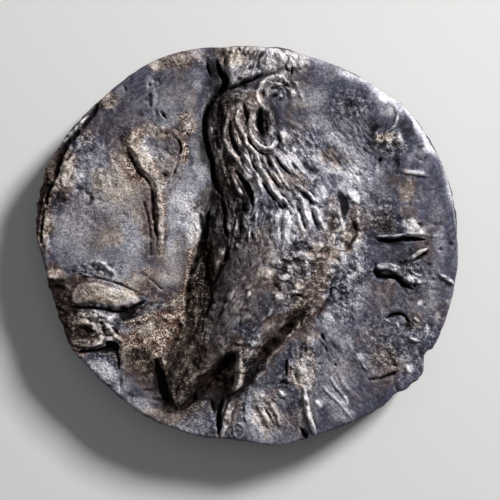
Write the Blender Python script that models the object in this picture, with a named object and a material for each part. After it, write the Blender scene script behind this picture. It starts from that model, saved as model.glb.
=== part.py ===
"""An ancient struck silver drachm, lying flat with its bird side up.

The coin was struck from one blank, so it is one solid. Its faces are drawn on a die sheet, a square drawing
with x to the right and y down. Widths, rises and cuts are in sheet units, and SHEET_UNIT is the real size of
one unit. The coin lies with the flat ring of its underside on the ground.
"""

import bmesh
import bpy
import numpy as np

# Driving sizes, in metres
COIN_WIDTH = 0.0161
FIELD_THICKNESS = 0.0021
GIRTH_HEIGHT = 0.0010
BIRD_RISE = 0.00045
BIRD_CROWN = 0.00022
PUNCH_SIDE = 0.0094
PUNCH_DEPTH = 0.00034
PUNCH_BAR = 0.0011

# The die sheet: how many units wide the coin is on it, the coin's middle, and steps between a curve's points
COIN_SPAN = 432.0
SHEET_UNIT = COIN_WIDTH / COIN_SPAN
MIDDLE = (246.0, 246.0)
CURVE_STEPS = 5
TINY = 1e-9

# Mesh sizes: cells across a face as modelled, and triangles of the finished coin
FACE_CELLS = 190
TRIANGLES = 9600

# How the struck face falls away at its rim: a steep turn all round, and a facet, widest at the upper right
EDGE_ROUNDING = 6.0
EDGE_DROP = 20.0
EDGE_CURVE = 2.2
FACET_BEARING = np.radians(-38.0)
FACET_NARROW = 4.0
FACET_WIDE = 13.0
FACET_SLOPE = 0.65
FACET_FOCUS = 3.0
RELIEF_FADE = 6.0

# The edge's bands: how much smaller than the band above, and level as a share of the girth's height
WALL_BANDS = ((1.0, 1.1), (0.994, 0.5))

# The underside: size against the struck face, how far out it is flat, and its rise beyond that
REST_SHRINK = 0.972
REST_RING = 0.86
REST_LIFT = 9.0
PUNCH_TURN = np.radians(13.0)
PUNCH_SLOPE = 17.0
PUNCH_UNEVEN = 0.12

SILVER = (0.30, 0.285, 0.30, 1.0)
METALLIC = 0.85
ROUGHNESS = 0.5

# The blank's outline, clockwise from the top: round, with a chip at lower right and a nick at lower left
OUTLINE = [(230, 43), (265, 43), (300, 49), (345, 65), (385, 87), (412, 108), (433, 138), (450, 172),
           (459, 210), (462, 255), (458, 290), (448, 325), (438, 347), (428, 356), (424, 377), (408, 392),
           (397, 397), (380, 412), (350, 428), (315, 440), (280, 449), (235, 444), (190, 438), (145, 420),
           (115, 398), (88, 374), (68, 350), (60, 333), (54, 315), (46, 292), (39, 262), (31, 232),
           (34, 200), (42, 168), (54, 146), (70, 126), (92, 102), (125, 75), (155, 56), (190, 46)]

# The bird with its low margin: head, breast, tail, gap, wing tip, back
MARGIN = [(226, 90), (250, 87), (266, 97), (279, 130), (277, 147), (308, 168), (345, 184), (360, 196),
          (364, 220), (352, 260), (328, 301), (308, 325), (276, 343), (252, 376), (245, 391), (236, 392),
          (233, 366), (231, 357), (220, 359), (198, 387), (188, 404), (178, 411), (168, 403), (163, 388),
          (170, 350), (187, 312), (191, 273), (202, 234), (216, 178), (206, 145), (209, 112), (217, 98)]

# The bird's raised body, and the fuller middle of it
BODY = [(226, 90), (250, 87), (266, 97), (279, 130), (277, 147), (308, 168), (342, 188), (352, 205),
        (352, 228), (332, 272), (304, 314), (270, 337), (252, 372), (245, 391), (236, 392), (233, 366),
        (231, 357), (220, 359), (198, 387), (188, 404), (178, 411), (168, 403), (166, 388), (180, 350),
        (203, 316), (211, 285), (206, 250), (206, 215), (218, 178), (208, 145), (210, 112), (217, 98)]
CROWN = [(232, 96), (262, 100), (272, 130), (285, 155), (318, 182), (338, 205), (338, 238), (316, 282),
         (280, 325), (240, 345), (205, 375), (184, 402), (176, 385), (205, 340), (226, 290), (224, 235),
         (226, 190), (216, 150), (216, 118)]
MARGIN_SHARE = 0.3
MARGIN_ROUNDING = 4.0
BODY_ROUNDING = 8.0
CROWN_ROUNDING = 44.0

# Where the body starts to slope off gently on the breast's side, over what stretch, and how gently
BREAST_START = (262.0, 130.0)
BREAST_STRETCH = 50.0
BREAST_ROUNDING = 30.0

# Raised and sunk areas: outline, rise, how far in the rounding reaches
CREST = [(226, 46), (246, 38), (268, 42), (272, 58), (263, 77), (246, 82), (229, 89), (226, 68)]
TAIL_GAP = [(188, 404), (199, 386), (214, 366), (231, 356), (235, 372), (238, 381), (234, 388), (240, 394),
            (222, 412), (208, 396)]
CUP = [(138, 124), (156, 122), (184, 134), (186, 150), (171, 184), (160, 191), (138, 176), (123, 146)]
BAND = [(72, 305), (73, 287), (90, 280), (119, 285), (146, 298), (122, 310), (98, 308)]
BUMP = [(401, 236), (404, 224), (412, 217), (420, 225), (427, 236)]
LEDGE = [(54, 142), (62, 156), (45, 204), (38, 262), (26, 262), (22, 200), (34, 156)]
AREAS = [(CREST, 6.0, 6.0), (TAIL_GAP, -11.0, 8.0), (CUP, 4.0, 9.0), (BAND, 6.5, 5.0), (BUMP, 4.0, 6.0),
         (LEDGE, -6.0, 4.0)]

# Strokes are (width, rise or depth, points). They thin out to their tips over a share of their run.
TIP_SHARE = 0.25
TIP_RUN = 0.25
HEAD_RIDGES = [(7, 5, [(288, 84), (275, 76), (260, 86), (260, 101), (267, 107)]),
               (9, 7, [(247, 118), (252, 136), (264, 149), (275, 141)]),
               (8, 5, [(238, 108), (241, 128), (253, 150)])]
HEAD_CUTS = [(9, 11, [(217, 62), (226, 82), (214, 98)]),
             (6, 4, [(228, 91), (246, 84), (263, 75)]),
             (12, 11, [(261, 109), (260, 122), (264, 138)]),
             (6, 7, [(246, 105), (248, 124)])]
NECK_RIDGES = [(7, 5, [(220, 100), (213, 119), (214, 131)]),
               (9, 7, [(228, 102), (227, 130), (230, 152), (243, 170)]),
               (11, 5, [(236, 136), (249, 157)]),
               (11, 7, [(250, 155), (264, 173), (273, 184)]),
               (12, 4, [(281, 147), (308, 174)]),
               (9, 6, [(232, 173), (243, 197)]),
               (8, 6, [(253, 181), (262, 199)])]
NECK_CUTS = [(8, 8, [(223, 101), (219, 120)]),
             (6, 6, [(231, 117), (236, 149)]),
             (10, 11, [(217, 96), (204, 126), (212, 161), (222, 197)]),
             (6, 6, [(250, 168), (269, 191)]),
             (9, 10, [(226, 150), (238, 172), (251, 193), (253, 208)])]
SHOULDER_RIDGES = [(7, 5, [(262, 186), (284, 203), (297, 222)]),
                   (8, 5.5, [(292, 197), (303, 210), (312, 232)]),
                   (7, 5, [(296, 183), (321, 208)]),
                   (8, 5.5, [(311, 206), (326, 233)]),
                   (14, 5, [(345, 194), (358, 203)])]
SHOULDER_CUTS = [(7, 7, [(292, 201), (305, 230)]),
                 (7, 8, [(300, 190), (313, 206)]),
                 (7, 7, [(309, 211), (319, 229)]),
                 (13, 5, [(340, 198), (345, 216)])]
BACK_RIDGES = [(9, 6, [(217, 208), (211, 236)]),
               (10, 6, [(222, 240), (225, 252), (216, 276)]),
               (9, 5, [(230, 190), (236, 221)]),
               (9, 6, [(243, 190), (244, 220)]),
               (20, 3, [(258, 262), (232, 306), (220, 330)])]
BACK_CUTS = [(8, 9, [(221, 199), (227, 236), (219, 276)]),
             (8, 7, [(209, 212), (204, 252)]),
             (8, 9, [(238, 196), (242, 214)]),
             (8, 7, [(211, 280), (214, 300)]),
             (9, 5, [(318, 294), (288, 322), (272, 334)]),
             (8, 5, [(327, 303), (280, 346)])]
TAIL_RIDGES = [(16, 4, [(276, 328), (250, 360), (242, 374)])]
TAIL_CUTS = [(9, 8, [(284, 329), (256, 368), (238, 395)]),
             (12, 8, [(163, 352), (160, 382), (176, 412)])]
LEG_RIDGES = [(8, 7, [(241, 395), (227, 411), (221, 437)]),
              (24, 4, [(302, 356), (304, 386)]),
              (8, 6, [(304, 388), (316, 436)]),
              (7, 5, [(275, 391), (297, 407)])]
LEG_CUTS = [(12, 4, [(281, 382), (290, 383)]),
            (7, 7, [(301, 428), (308, 443)]),
            (7, 8, [(223, 399), (217, 435)])]
CUP_RIDGES = [(11, 5, [(157, 189), (160, 222), (161, 254)])]
CUP_CUTS = [(11, 4.5, [(122, 136), (140, 174), (153, 192)]),
            (18, 3, [(156, 145), (170, 148)])]
CRUST_RIDGES = [(18, 6, [(47, 275), (65, 277)]),
                (12, 5, [(71, 341), (117, 338)]),
                (12, 4, [(86, 316), (115, 317)])]
CRUST_CUTS = [(8, 6, [(71, 309), (117, 316), (141, 303)]),
              (12, 8, [(78, 330), (91, 333)]),
              (8, 9, [(78, 352), (104, 347), (118, 349), (118, 360)]),
              (7, 7, [(90, 376), (118, 400)])]
FIELD_RIDGES = [(7, 4.5, [(376, 236), (424, 235)]),
                (7, 4.5, [(407, 259), (426, 249)]),
                (11, 6.5, [(379, 268), (398, 269), (425, 282)])]
FIELD_CUTS = [(24, 3, [(384, 112), (384, 119)]),
              (8, 6, [(377, 241), (424, 241)]),
              (8, 7, [(375, 265), (381, 278), (413, 290)])]
LIP_RIDGES = [(9, 3, [(74, 150), (62, 180)])]
LIP_CUTS = [(9, 8, [(93, 111), (69, 140), (54, 177)]),
            (8, 6, [(56, 172), (43, 220), (41, 240)])]
REGIONS = [(HEAD_RIDGES, HEAD_CUTS), (NECK_RIDGES, NECK_CUTS), (SHOULDER_RIDGES, SHOULDER_CUTS),
           (BACK_RIDGES, BACK_CUTS), (TAIL_RIDGES, TAIL_CUTS), (LEG_RIDGES, LEG_CUTS), (CUP_RIDGES, CUP_CUTS),
           (CRUST_RIDGES, CRUST_CUTS), (FIELD_RIDGES, FIELD_CUTS), (LIP_RIDGES, LIP_CUTS)]

# The row of plain strokes in the right field: first stroke, step to the next, how many, width, rise
FIELD_STROKE = [(376.0, 132.0), (379.0, 149.0)]
FIELD_STROKE_STEP = 11.5
FIELD_STROKE_COUNT = 3
FIELD_STROKE_WIDTH = 9.0
FIELD_STROKE_RISE = 4.5

# Breast feathers as rows of pellets: first pellet, pellets in the row
PELLET_ROWS = [((296, 236), 3), ((289, 251), 4), ((284, 265), 4), ((276, 279), 4), ((270, 294), 4)]
PELLET_STEP = (12.0, 3.0)
PELLET_RADIUS = 5.5
PELLET_RISE = 4.0


def smooth(share):
    """An eased step from 0 to 1."""
    share = np.clip(share, 0.0, 1.0)
    return share * share * (3.0 - 2.0 * share)


def curve(points, closed=False):
    """A Catmull-Rom curve through a few points, as a fine row of points."""
    points = np.array(points, float)
    if closed:
        padded = np.vstack([points[-1], points, points[0], points[1]])
    else:
        padded = np.vstack([2 * points[0] - points[1], points, 2 * points[-1] - points[-2]])
    share = (np.arange(CURVE_STEPS) / CURVE_STEPS)[:, None]
    spans = []
    for before, start, end, after in zip(padded, padded[1:], padded[2:], padded[3:]):
        bend = 2 * before - 5 * start + 4 * end - after
        twist = 3 * start - before - 3 * end + after
        spans.append(start + 0.5 * ((end - before) * share + bend * share ** 2 + twist * share ** 3))
    spans.append(padded[-2:-1])
    return np.vstack(spans)


def measure(x, y, path):
    """How far each place lies from a path, and how far along the path it is from 0 to 1."""
    lengths = np.hypot(*np.diff(path, axis=0).T)
    nearest = np.full(x.shape, np.inf)
    along = np.zeros(x.shape)
    for start, end, run, length in zip(path, path[1:], np.cumsum(lengths) - lengths, lengths):
        step = end - start
        share = ((x - start[0]) * step[0] + (y - start[1]) * step[1]) / max(length ** 2, TINY)
        share = np.clip(share, 0.0, 1.0)
        gap = np.hypot(x - start[0] - share * step[0], y - start[1] - share * step[1])
        closer = gap < nearest
        nearest[closer] = gap[closer]
        along[closer] = (run + share[closer] * length) / lengths.sum()
    return nearest, along


def within(x, y, path):
    """Which places lie inside a closed path."""
    inside = np.zeros(x.shape, bool)
    for start, end in zip(path, path[1:]):
        if start[1] != end[1]:
            crosses = (start[1] > y) != (end[1] > y)
            reach = start[0] + (end[0] - start[0]) * (y - start[1]) / (end[1] - start[1])
            inside ^= crosses & (x < reach)
    return inside


def strokes(x, y, rows):
    """The highest of several rounded strokes that taper at both ends."""
    height = np.zeros(x.shape)
    for width, rise, points in rows:
        gap, along = measure(x, y, curve(points))
        taper = TIP_SHARE + (1.0 - TIP_SHARE) * np.clip(np.minimum(along, 1.0 - along) / TIP_RUN, 0.0, 1.0)
        section = np.clip(1.0 - (gap / (0.5 * width * taper)) ** 2, 0.0, 1.0)
        height = np.maximum(height, rise * taper * section)
    return height


def plateau(x, y, points, rounding):
    """A raised area from 0 at its outline to 1 within, rounded over the given distance."""
    path = curve(points, closed=True)
    gap, _ = measure(x, y, path)
    return np.where(within(x, y, path), np.sin(0.5 * np.pi * np.clip(gap / rounding, 0.0, 1.0)), 0.0)


def pellets(x, y):
    """The breast feathers, small domes in slanting rows."""
    height = np.zeros(x.shape)
    for (first_x, first_y), count in PELLET_ROWS:
        for place in range(count):
            off_x = x - first_x - place * PELLET_STEP[0]
            off_y = y - first_y - place * PELLET_STEP[1]
            dome = np.clip(1.0 - (off_x ** 2 + off_y ** 2) / PELLET_RADIUS ** 2, 0.0, 1.0)
            height = np.maximum(height, PELLET_RISE * np.sqrt(dome))
    return height


def field_strokes(x, y):
    """The row of plain upright strokes in the right field."""
    rows = []
    for place in range(FIELD_STROKE_COUNT):
        shifted = [(px + place * FIELD_STROKE_STEP, py) for px, py in FIELD_STROKE]
        rows.append((FIELD_STROKE_WIDTH, FIELD_STROKE_RISE, shifted))
    return strokes(x, y, rows)


def bird_body(x, y):
    """The bird's mass on its low margin: steep along its back, sloping off to the right of the breast."""
    ease = smooth((x - BREAST_START[0]) / BREAST_STRETCH) * smooth((y - BREAST_START[1]) / BREAST_STRETCH)
    rounding = BODY_ROUNDING + (BREAST_ROUNDING - BODY_ROUNDING) * ease
    rise = BIRD_RISE / SHEET_UNIT
    low = MARGIN_SHARE * rise * plateau(x, y, MARGIN, MARGIN_ROUNDING)
    steep = (1.0 - MARGIN_SHARE) * rise * plateau(x, y, BODY, rounding)
    return low + steep + BIRD_CROWN / SHEET_UNIT * plateau(x, y, CROWN, CROWN_ROUNDING)


def face_height(x, y):
    """The struck face above the field, in sheet units."""
    height = bird_body(x, y)
    for outline, rise, rounding in AREAS:
        height += rise * plateau(x, y, outline, rounding)
    for ridges, cuts in REGIONS:
        height += strokes(x, y, ridges) - strokes(x, y, cuts)
    return height + pellets(x, y) + field_strokes(x, y)


def underside_height(x, y):
    """The worn square punch of the underside, four sunk compartments between crossed bars."""
    off_x, off_y = x - MIDDLE[0], y - MIDDLE[1]
    across = off_x * np.cos(PUNCH_TURN) + off_y * np.sin(PUNCH_TURN)
    down = off_y * np.cos(PUNCH_TURN) - off_x * np.sin(PUNCH_TURN)
    depth = PUNCH_DEPTH / SHEET_UNIT
    for way in (across, down):
        from_side = 0.5 * PUNCH_SIDE / SHEET_UNIT - np.abs(way)
        from_bar = np.abs(way) - 0.5 * PUNCH_BAR / SHEET_UNIT
        depth = depth * smooth(from_side / PUNCH_SLOPE) * smooth(from_bar / PUNCH_SLOPE)
    return depth * (1.0 - PUNCH_UNEVEN * (across > 0.0) - PUNCH_UNEVEN * (down > 0.0))


def outline_radius(bearing):
    """The blank's radius at a bearing, in sheet units."""
    path = curve(OUTLINE, closed=True) - MIDDLE
    bearings = np.arctan2(path[:, 1], path[:, 0])
    order = np.argsort(bearings)
    radii = np.hypot(path[:, 0], path[:, 1])
    return np.interp(bearing, bearings[order], radii[order], period=2 * np.pi)


def round_grid(bm, shrink=1.0):
    """A square grid pulled into the blank's outline. Gives its vertices, sheet places and rings."""
    made = bmesh.ops.create_grid(bm, x_segments=FACE_CELLS, y_segments=FACE_CELLS, size=1.0)
    places = np.array([vert.co.xy for vert in made["verts"]])
    across, up = places[:, 0], places[:, 1]
    wide = np.abs(across) >= np.abs(up)
    longer = np.where(wide, across, up)
    shorter = np.where(wide, up, across)
    lean = np.pi / 4 * shorter / np.where(longer == 0.0, 1.0, longer)
    bearing = np.where(wide, lean, np.pi / 2 - lean)
    east, north = longer * np.cos(bearing), longer * np.sin(bearing)
    radius = outline_radius(np.arctan2(-north, east))
    x = MIDDLE[0] + shrink * radius * east
    y = MIDDLE[1] - shrink * radius * north
    return made["verts"], x, y, np.abs(longer), radius * (1.0 - np.abs(longer))


def set_places(verts, x, y, height):
    """Move vertices from the sheet to their real places."""
    for vert, place_x, place_y, place_z in zip(verts, x, y, height):
        vert.co = (SHEET_UNIT * (place_x - MIDDLE[0]), SHEET_UNIT * (MIDDLE[1] - place_y), SHEET_UNIT * place_z)


def edge_drop(x, y, from_edge):
    """How far the struck face has fallen away near its rim."""
    bearing = np.arctan2(y - MIDDLE[1], x - MIDDLE[0])
    facing = np.clip(np.cos(bearing - FACET_BEARING), 0.0, 1.0) ** FACET_FOCUS
    width = FACET_NARROW + (FACET_WIDE - FACET_NARROW) * facing
    facet = FACET_SLOPE * width * np.clip(1.0 - from_edge / width, 0.0, 1.0)
    return facet + EDGE_DROP * np.clip(1.0 - from_edge / EDGE_ROUNDING, 0.0, 1.0) ** EDGE_CURVE


def struck_face(bm):
    """The upper face, rounded down to the girth all round."""
    verts, x, y, _, from_edge = round_grid(bm)
    relief = face_height(x, y) * smooth(from_edge / RELIEF_FADE)
    set_places(verts, x, y, FIELD_THICKNESS / SHEET_UNIT + relief - edge_drop(x, y, from_edge))


def underside(bm):
    """The lower face: a flat ring and bars to rest on, round the sunk punch."""
    verts, x, y, ring, _ = round_grid(bm, REST_SHRINK)
    lift = REST_LIFT * np.clip((ring - REST_RING) / (1.0 - REST_RING), 0.0, 1.0) ** 2
    set_places(verts, x, y, underside_height(x, y) + lift)
    faces = list({face for vert in verts for face in vert.link_faces})
    bmesh.ops.reverse_faces(bm, faces=faces)


def open_edges(bm):
    return [edge for edge in bm.edges if edge.is_boundary]


def wall(bm, shrink, level):
    """One band of the coin's edge, down to a level."""
    made = bmesh.ops.extrude_edge_only(bm, edges=open_edges(bm))
    for item in made["geom"]:
        if isinstance(item, bmesh.types.BMVert):
            item.co = (item.co.x * shrink, item.co.y * shrink, level)


def coin_mesh():
    """One closed body: struck face, wall and underside."""
    bm = bmesh.new()
    struck_face(bm)
    for shrink, share in WALL_BANDS:
        wall(bm, shrink, share * GIRTH_HEIGHT)
    underside(bm)
    bmesh.ops.bridge_loops(bm, edges=open_edges(bm))
    bmesh.ops.triangulate(bm, faces=bm.faces)
    low, high = coin_extent(bm)
    bmesh.ops.translate(bm, verts=bm.verts, vec=(-0.5 * (low[0] + high[0]), -0.5 * (low[1] + high[1]), -low[2]))
    mesh = bpy.data.meshes.new("coin")
    bm.to_mesh(mesh)
    bm.free()
    return mesh


def coin_extent(bm):
    places = np.array([vert.co for vert in bm.verts])
    return places.min(axis=0), places.max(axis=0)


def toned_silver():
    material = bpy.data.materials.new("toned_silver")
    material.use_nodes = True
    shader = material.node_tree.nodes["Principled BSDF"]
    shader.inputs["Base Color"].default_value = SILVER
    shader.inputs["Metallic"].default_value = METALLIC
    shader.inputs["Roughness"].default_value = ROUGHNESS
    return material


def clear_scene():
    for item in list(bpy.data.objects):
        bpy.data.objects.remove(item, do_unlink=True)


def main():
    clear_scene()
    collection = bpy.data.collections.new("drachm")
    bpy.context.scene.collection.children.link(collection)
    mesh = coin_mesh()
    mesh.materials.append(toned_silver())
    mesh.shade_smooth()
    coin = bpy.data.objects.new("coin", mesh)
    collection.objects.link(coin)
    fewer = coin.modifiers.new("fewer_faces", "DECIMATE")
    fewer.ratio = TRIANGLES / len(mesh.polygons)


main()
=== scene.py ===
"""The looks of an ancient struck silver drachm that lies flat, bird side up.

The coin is one piece. Its two faces are drawn on a die sheet, a square drawing with x to the right and
y down. Widths, rises and cuts are in sheet units, and SHEET_UNIT is the real size of one unit.
"""

import math

import bmesh
import bpy
import numpy as np
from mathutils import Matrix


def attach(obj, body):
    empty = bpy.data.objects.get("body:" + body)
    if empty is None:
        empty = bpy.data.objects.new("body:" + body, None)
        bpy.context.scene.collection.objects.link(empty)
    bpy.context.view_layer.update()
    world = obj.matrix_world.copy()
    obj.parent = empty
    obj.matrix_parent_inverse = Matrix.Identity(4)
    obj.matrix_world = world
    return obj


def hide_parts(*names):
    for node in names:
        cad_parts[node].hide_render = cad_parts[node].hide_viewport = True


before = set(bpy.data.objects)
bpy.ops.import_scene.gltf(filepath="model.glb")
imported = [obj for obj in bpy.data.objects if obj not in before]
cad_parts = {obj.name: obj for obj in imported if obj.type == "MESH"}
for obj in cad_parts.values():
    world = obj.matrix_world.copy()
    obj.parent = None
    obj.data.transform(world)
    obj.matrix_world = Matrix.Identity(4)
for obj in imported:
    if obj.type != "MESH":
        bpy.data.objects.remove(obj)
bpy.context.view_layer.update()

# Driving sizes, in metres
COIN_WIDTH = 0.0161
FIELD_THICKNESS = 0.0021
GIRTH_HEIGHT = 0.0010
BIRD_RISE = 0.00045
BIRD_CROWN = 0.00019
PUNCH_SIDE = 0.0094
PUNCH_DEPTH = 0.00034
PUNCH_BAR = 0.0011

# The die sheet, in its own units
COIN_SPAN = 432.0
SHEET_UNIT = COIN_WIDTH / COIN_SPAN
SHEET_SIDE = 500.0
MIDDLE = (246.5, 246.0)

# Mesh sizes
FACE_CELLS = 290
BACK_CELLS = 76
CURVE_STEPS = 6

# What the finish needs to know of each vertex
ATTRIBUTES = ("hollow", "crease", "crust", "rough", "tone_and_painted_light", "warm", "combed")

# Random draws fill a square table. Below, waves and grains are (height, size, seed), and a wandering of
# places is (reach, size, seed for x, seed for y).
NOISE_CELLS = 64
GRAIN_LAYERS = 3
FEW_LAYERS = 2
GRAIN_FADE = 0.55
CRINKLE_GAIN = 4.0
PATCH_END = 1.5
TINY = 1e-9

# The blank's outline and how it crumbles, more at two places given from its middle
OUTLINE_INSET = 1.0
CRUMBLE_LEAST = 0.35
CRUMBLED_LEFT = (-190.0, 20.0, 60.0, 120.0)
CRUMBLED_RIGHT = (170.0, 130.0, 50.0, 50.0)
CRUMBLE_COARSE = (1.6, 16.0, 91)
CRUMBLE_FINE = (1.2, 6.0, 93)

# The rounded upper edge and the sloping facet, which is wide on one bearing only
EDGE_ROUNDING = 4.0
EDGE_DROP = 20.0
EDGE_BEND = 2.2
FACET_BEARING = math.radians(-38.0)
FACET_FOCUS = 3
FACET_NARROW = 4.0
FACET_WIDE = 13.0
FACET_UNEVEN = (0.35, 16.0, 81)
FACET_SLOPE = 0.65
FACET_BEND = 1.3
RELIEF_EDGE = 5.0

# Bands of the edge from the top down: share of the width, and height as a share of the girth's. The finish
# sees a dent as a hollow, darkened with painted shade and dirt, and shifts its patches with the height, so
# that they don't run straight down.
WALL_BANDS = ((1.0, 1.25), (1.0, 0.95), (0.999, 0.72), (0.996, 0.5), (0.992, 0.34))
WALL_DENTS = (0.010, 22.0, 95)
WALL_HOLLOW = 80.0
EDGE_SHIFT = 1.5

# The underside: its rest ring and the punch
REST_SHRINK = 0.972
REST_RING = 0.86
REST_LIFT = 9.0
PUNCH_TURN = math.radians(13.0)
PUNCH_SLOPE = 17.0
PUNCH_UNEVEN = 0.12
REST_WEAR = 0.5
REST_GRAIN = (0.5, 12.0, 71)

# The bird's mass. Its edge is widest to the right of the breast and on top of the head.
MARGIN_SHARE = 0.3
BODY_SHARE = 0.7
MARGIN_EDGE = 7.0
BODY_EDGE = 8.0
CROWN_EDGE = 44.0
BREAST_EDGE = 22.0
BREAST_START = (262.0, 130.0)
BREAST_REACH = 50.0
HEAD_EDGE = 14.0
HEAD_TOP = (240.0, 96.0, 24.0, 14.0)

# How strokes are cut. Fullness goes from 1 for a bell to more for a flat top with steep sides.
RIDGE_SHARE = 0.8
RIDGE_FULLNESS = 2.4
CUT_FULLNESS = 1.4
STROKE_TIP = 0.3
STROKE_TAPER = 0.5
TAPER_BEND = 0.7
STROKE_EDGES = (0.3, 6.0, 51)
STROKE_SWELLS = (0.35, 8.0, 53)
STROKE_NICKS = (0.3, 3.5, 55)

# The row of plain upright strokes in the right field: width, rise, ends of the first one, step
UPRIGHTS = 3
UPRIGHT_WIDTH = 10
UPRIGHT_RISE = 3.5
UPRIGHT_ENDS = ((376, 132), (379, 149))
UPRIGHT_STEP = 11.5

# Breast feathers, worn domes
PELLET_RISE = 0.6
PELLET_FULLNESS = 1.7
PELLET_END = 1.25

# Lumps and scales, whose seeds go up by one from patch to patch
LUMP_OFFSETS = (0.1, 0.9)
LUMP_FULLNESS = 1.6
LUMP_SEED = 200
SCALE_RISE = 0.8
SCALE_SINK = 0.5
SCALE_BEND = (0.8, 14.0, 300)
SCALE_WAVES = (0.7, 1.3, 400)
SCALE_LEAST = 0.75
SCALE_UNEVEN = (0.6, 20.0, 500)

# The uneven die, the dented field, and its grain and pits
DIE_WANDER = (1.2, 12.0, 5, 15)
DIE_SWAY_X = (1.0, 40.0, 6)
DIE_SWAY_Y = (1.0, 40.0, 16)
PELLET_WANDER = (2.5, 8.0, 7, 17)
FIELD_SWELLS = (2.2, 90.0, 3)
FIELD_DENTS = (1.2, 34.0, 4)
ROUGH_LEAST = 0.2
ROUGH_MOST = 2.4
CRINKLE = (1.0, 20.0, 21)
CRINKLE_LEAST = 0.1
CRINKLE_ROUGH = 0.35
ROUGH_GRAIN = (0.75, 6.0, 33)
ROUGH_FADE = 0.8
PIT_DEPTH = 6.0
PIT_PLACES = (1.0, 5.0, 41)
PIT_FROM = 0.5
PIT_CROWDS = (1.0, 30.0, 42)
PIT_SPREAD = 0.2

# Combed streaks. Their step keeps the noise of two patches apart.
STREAK_LENGTH = 13.0
STREAK_WIDTH = 2.9
STREAK_STEP = 7.3
STREAK_WANDER = (3.0, 16.0, 97, 103)
STREAK_BORDER = 3.0

# Hollows and creases are measured against the face blurred over some cells, where whatever lies below
# FILLED_FROM counts as filled up to it
FILLED_FROM = -3.0
BROAD_BLUR = 4
NARROW_BLUR = 2
BACK_BLUR = 3

# How the edges of patches wander
DRIFT_SIZE = 14.0
DRIFT_SEEDS = (61, 65)
TONE_WANDER = 7.0
SPOT_WANDER = 3.0
CRUST_WANDER = 9.0
WARM_WANDER = 12.0
SHADE_WANDER = (2.5, 8.0, 105, 107)

# The tone, which holds painted highlights and painted shade as well as toning: how strongly its patches
# count, its grain and limits, and the painted highlight along the facet's lip, strongest at the upper
# right
TONE_SHARE = 0.9
TONE_GRAIN = (0.27, 30.0, 67)
TONE_LIMITS = (-2.0, 1.5)
LIP_PAINTED_HIGHLIGHT = 1.9
LIP_DROP = 7.0
LIP_LEAST = 0.6
LIP_MORE = 0.4
LIP_HIGHLIGHT_PATCH = (430.0, 150.0, 50.0, 72.0)

# The finish of the edge and the underside, which is worn, blue-grey and brown by turns
PLAIN_ROUGH = (1.0, 60.0, 89)
PLAIN_ROUGH_SPREAD = 0.4
PLAIN_ROUGH_LEAST = 0.05
PLAIN_ROUGH_MORE = 0.4
PLAIN_CRUST = (1.0, 40.0, 83)
PLAIN_CRUST_SPREAD = -0.05
PLAIN_CRUST_MOST = 0.8
PLAIN_TONE = (0.8, 34.0, 85)
PLAIN_TONE_SHIFT = -0.1
PLAIN_WARM = (0.5, 50.0, 87)
PLAIN_WARM_SHIFT = 0.5

# The blank's outline, clockwise from the top
OUTLINE = [
    (230, 43), (265, 43), (300, 49), (345, 65), (385, 87), (412, 108), (433, 138), (450, 172), (459, 210),
    (462, 255), (458, 290), (448, 325), (438, 347), (428, 356), (424, 377), (408, 392), (397, 397),
    (380, 412), (350, 428), (315, 440), (280, 449), (235, 444), (190, 438), (145, 420), (115, 398),
    (88, 374), (68, 350), (60, 333), (54, 315), (46, 292), (39, 262), (31, 232), (34, 200), (42, 168),
    (54, 146), (70, 126), (92, 102), (125, 75), (155, 56), (190, 46)]

# The bird's low margin and its raised body, which share two stretches of outline, and its crown
HEAD_SIDE = [
    (226, 90), (250, 87), (266, 97), (275, 112), (279, 130), (277, 147), (292, 155), (308, 168)]
TAIL_SIDE = [
    (231, 388), (235, 376), (233, 365), (234, 355), (224, 358), (213, 368), (204, 378), (197, 389),
    (188, 401), (178, 411), (168, 403)]
MARGIN = [
    *HEAD_SIDE,
    (325, 176), (345, 184), (360, 196), (364, 220), (362, 242), (352, 260), (338, 280), (328, 301),
    (318, 315), (308, 325), (290, 337), (276, 343), (265, 352), (258, 364), (252, 376), (244, 389),
    (236, 394),
    *TAIL_SIDE,
    (163, 388), (164, 368), (170, 350), (180, 332), (187, 312), (188, 296), (191, 273), (199, 256),
    (205, 234), (209, 215), (213, 196), (216, 178), (211, 160), (207, 145), (206, 130), (209, 112),
    (217, 98)]
BODY = [
    *HEAD_SIDE,
    (325, 178), (342, 188), (352, 205), (352, 228), (344, 250), (332, 272), (318, 296), (304, 314),
    (285, 328), (270, 336), (260, 347), (253, 359), (248, 372), (243, 386), (237, 393),
    *TAIL_SIDE,
    (166, 388), (170, 368), (180, 350), (194, 334), (203, 316), (209, 300), (211, 285), (209, 268),
    (206, 250), (208, 232), (210, 215), (214, 196), (218, 178), (212, 160), (208, 145), (207, 130),
    (210, 112), (217, 98)]
CROWN = [
    (232, 96), (262, 100), (272, 130), (285, 155), (318, 182), (338, 205), (338, 238), (316, 282),
    (280, 325), (240, 345), (205, 375), (184, 402), (176, 385), (205, 340), (226, 290), (224, 235),
    (226, 190), (216, 150), (216, 118)]

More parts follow.
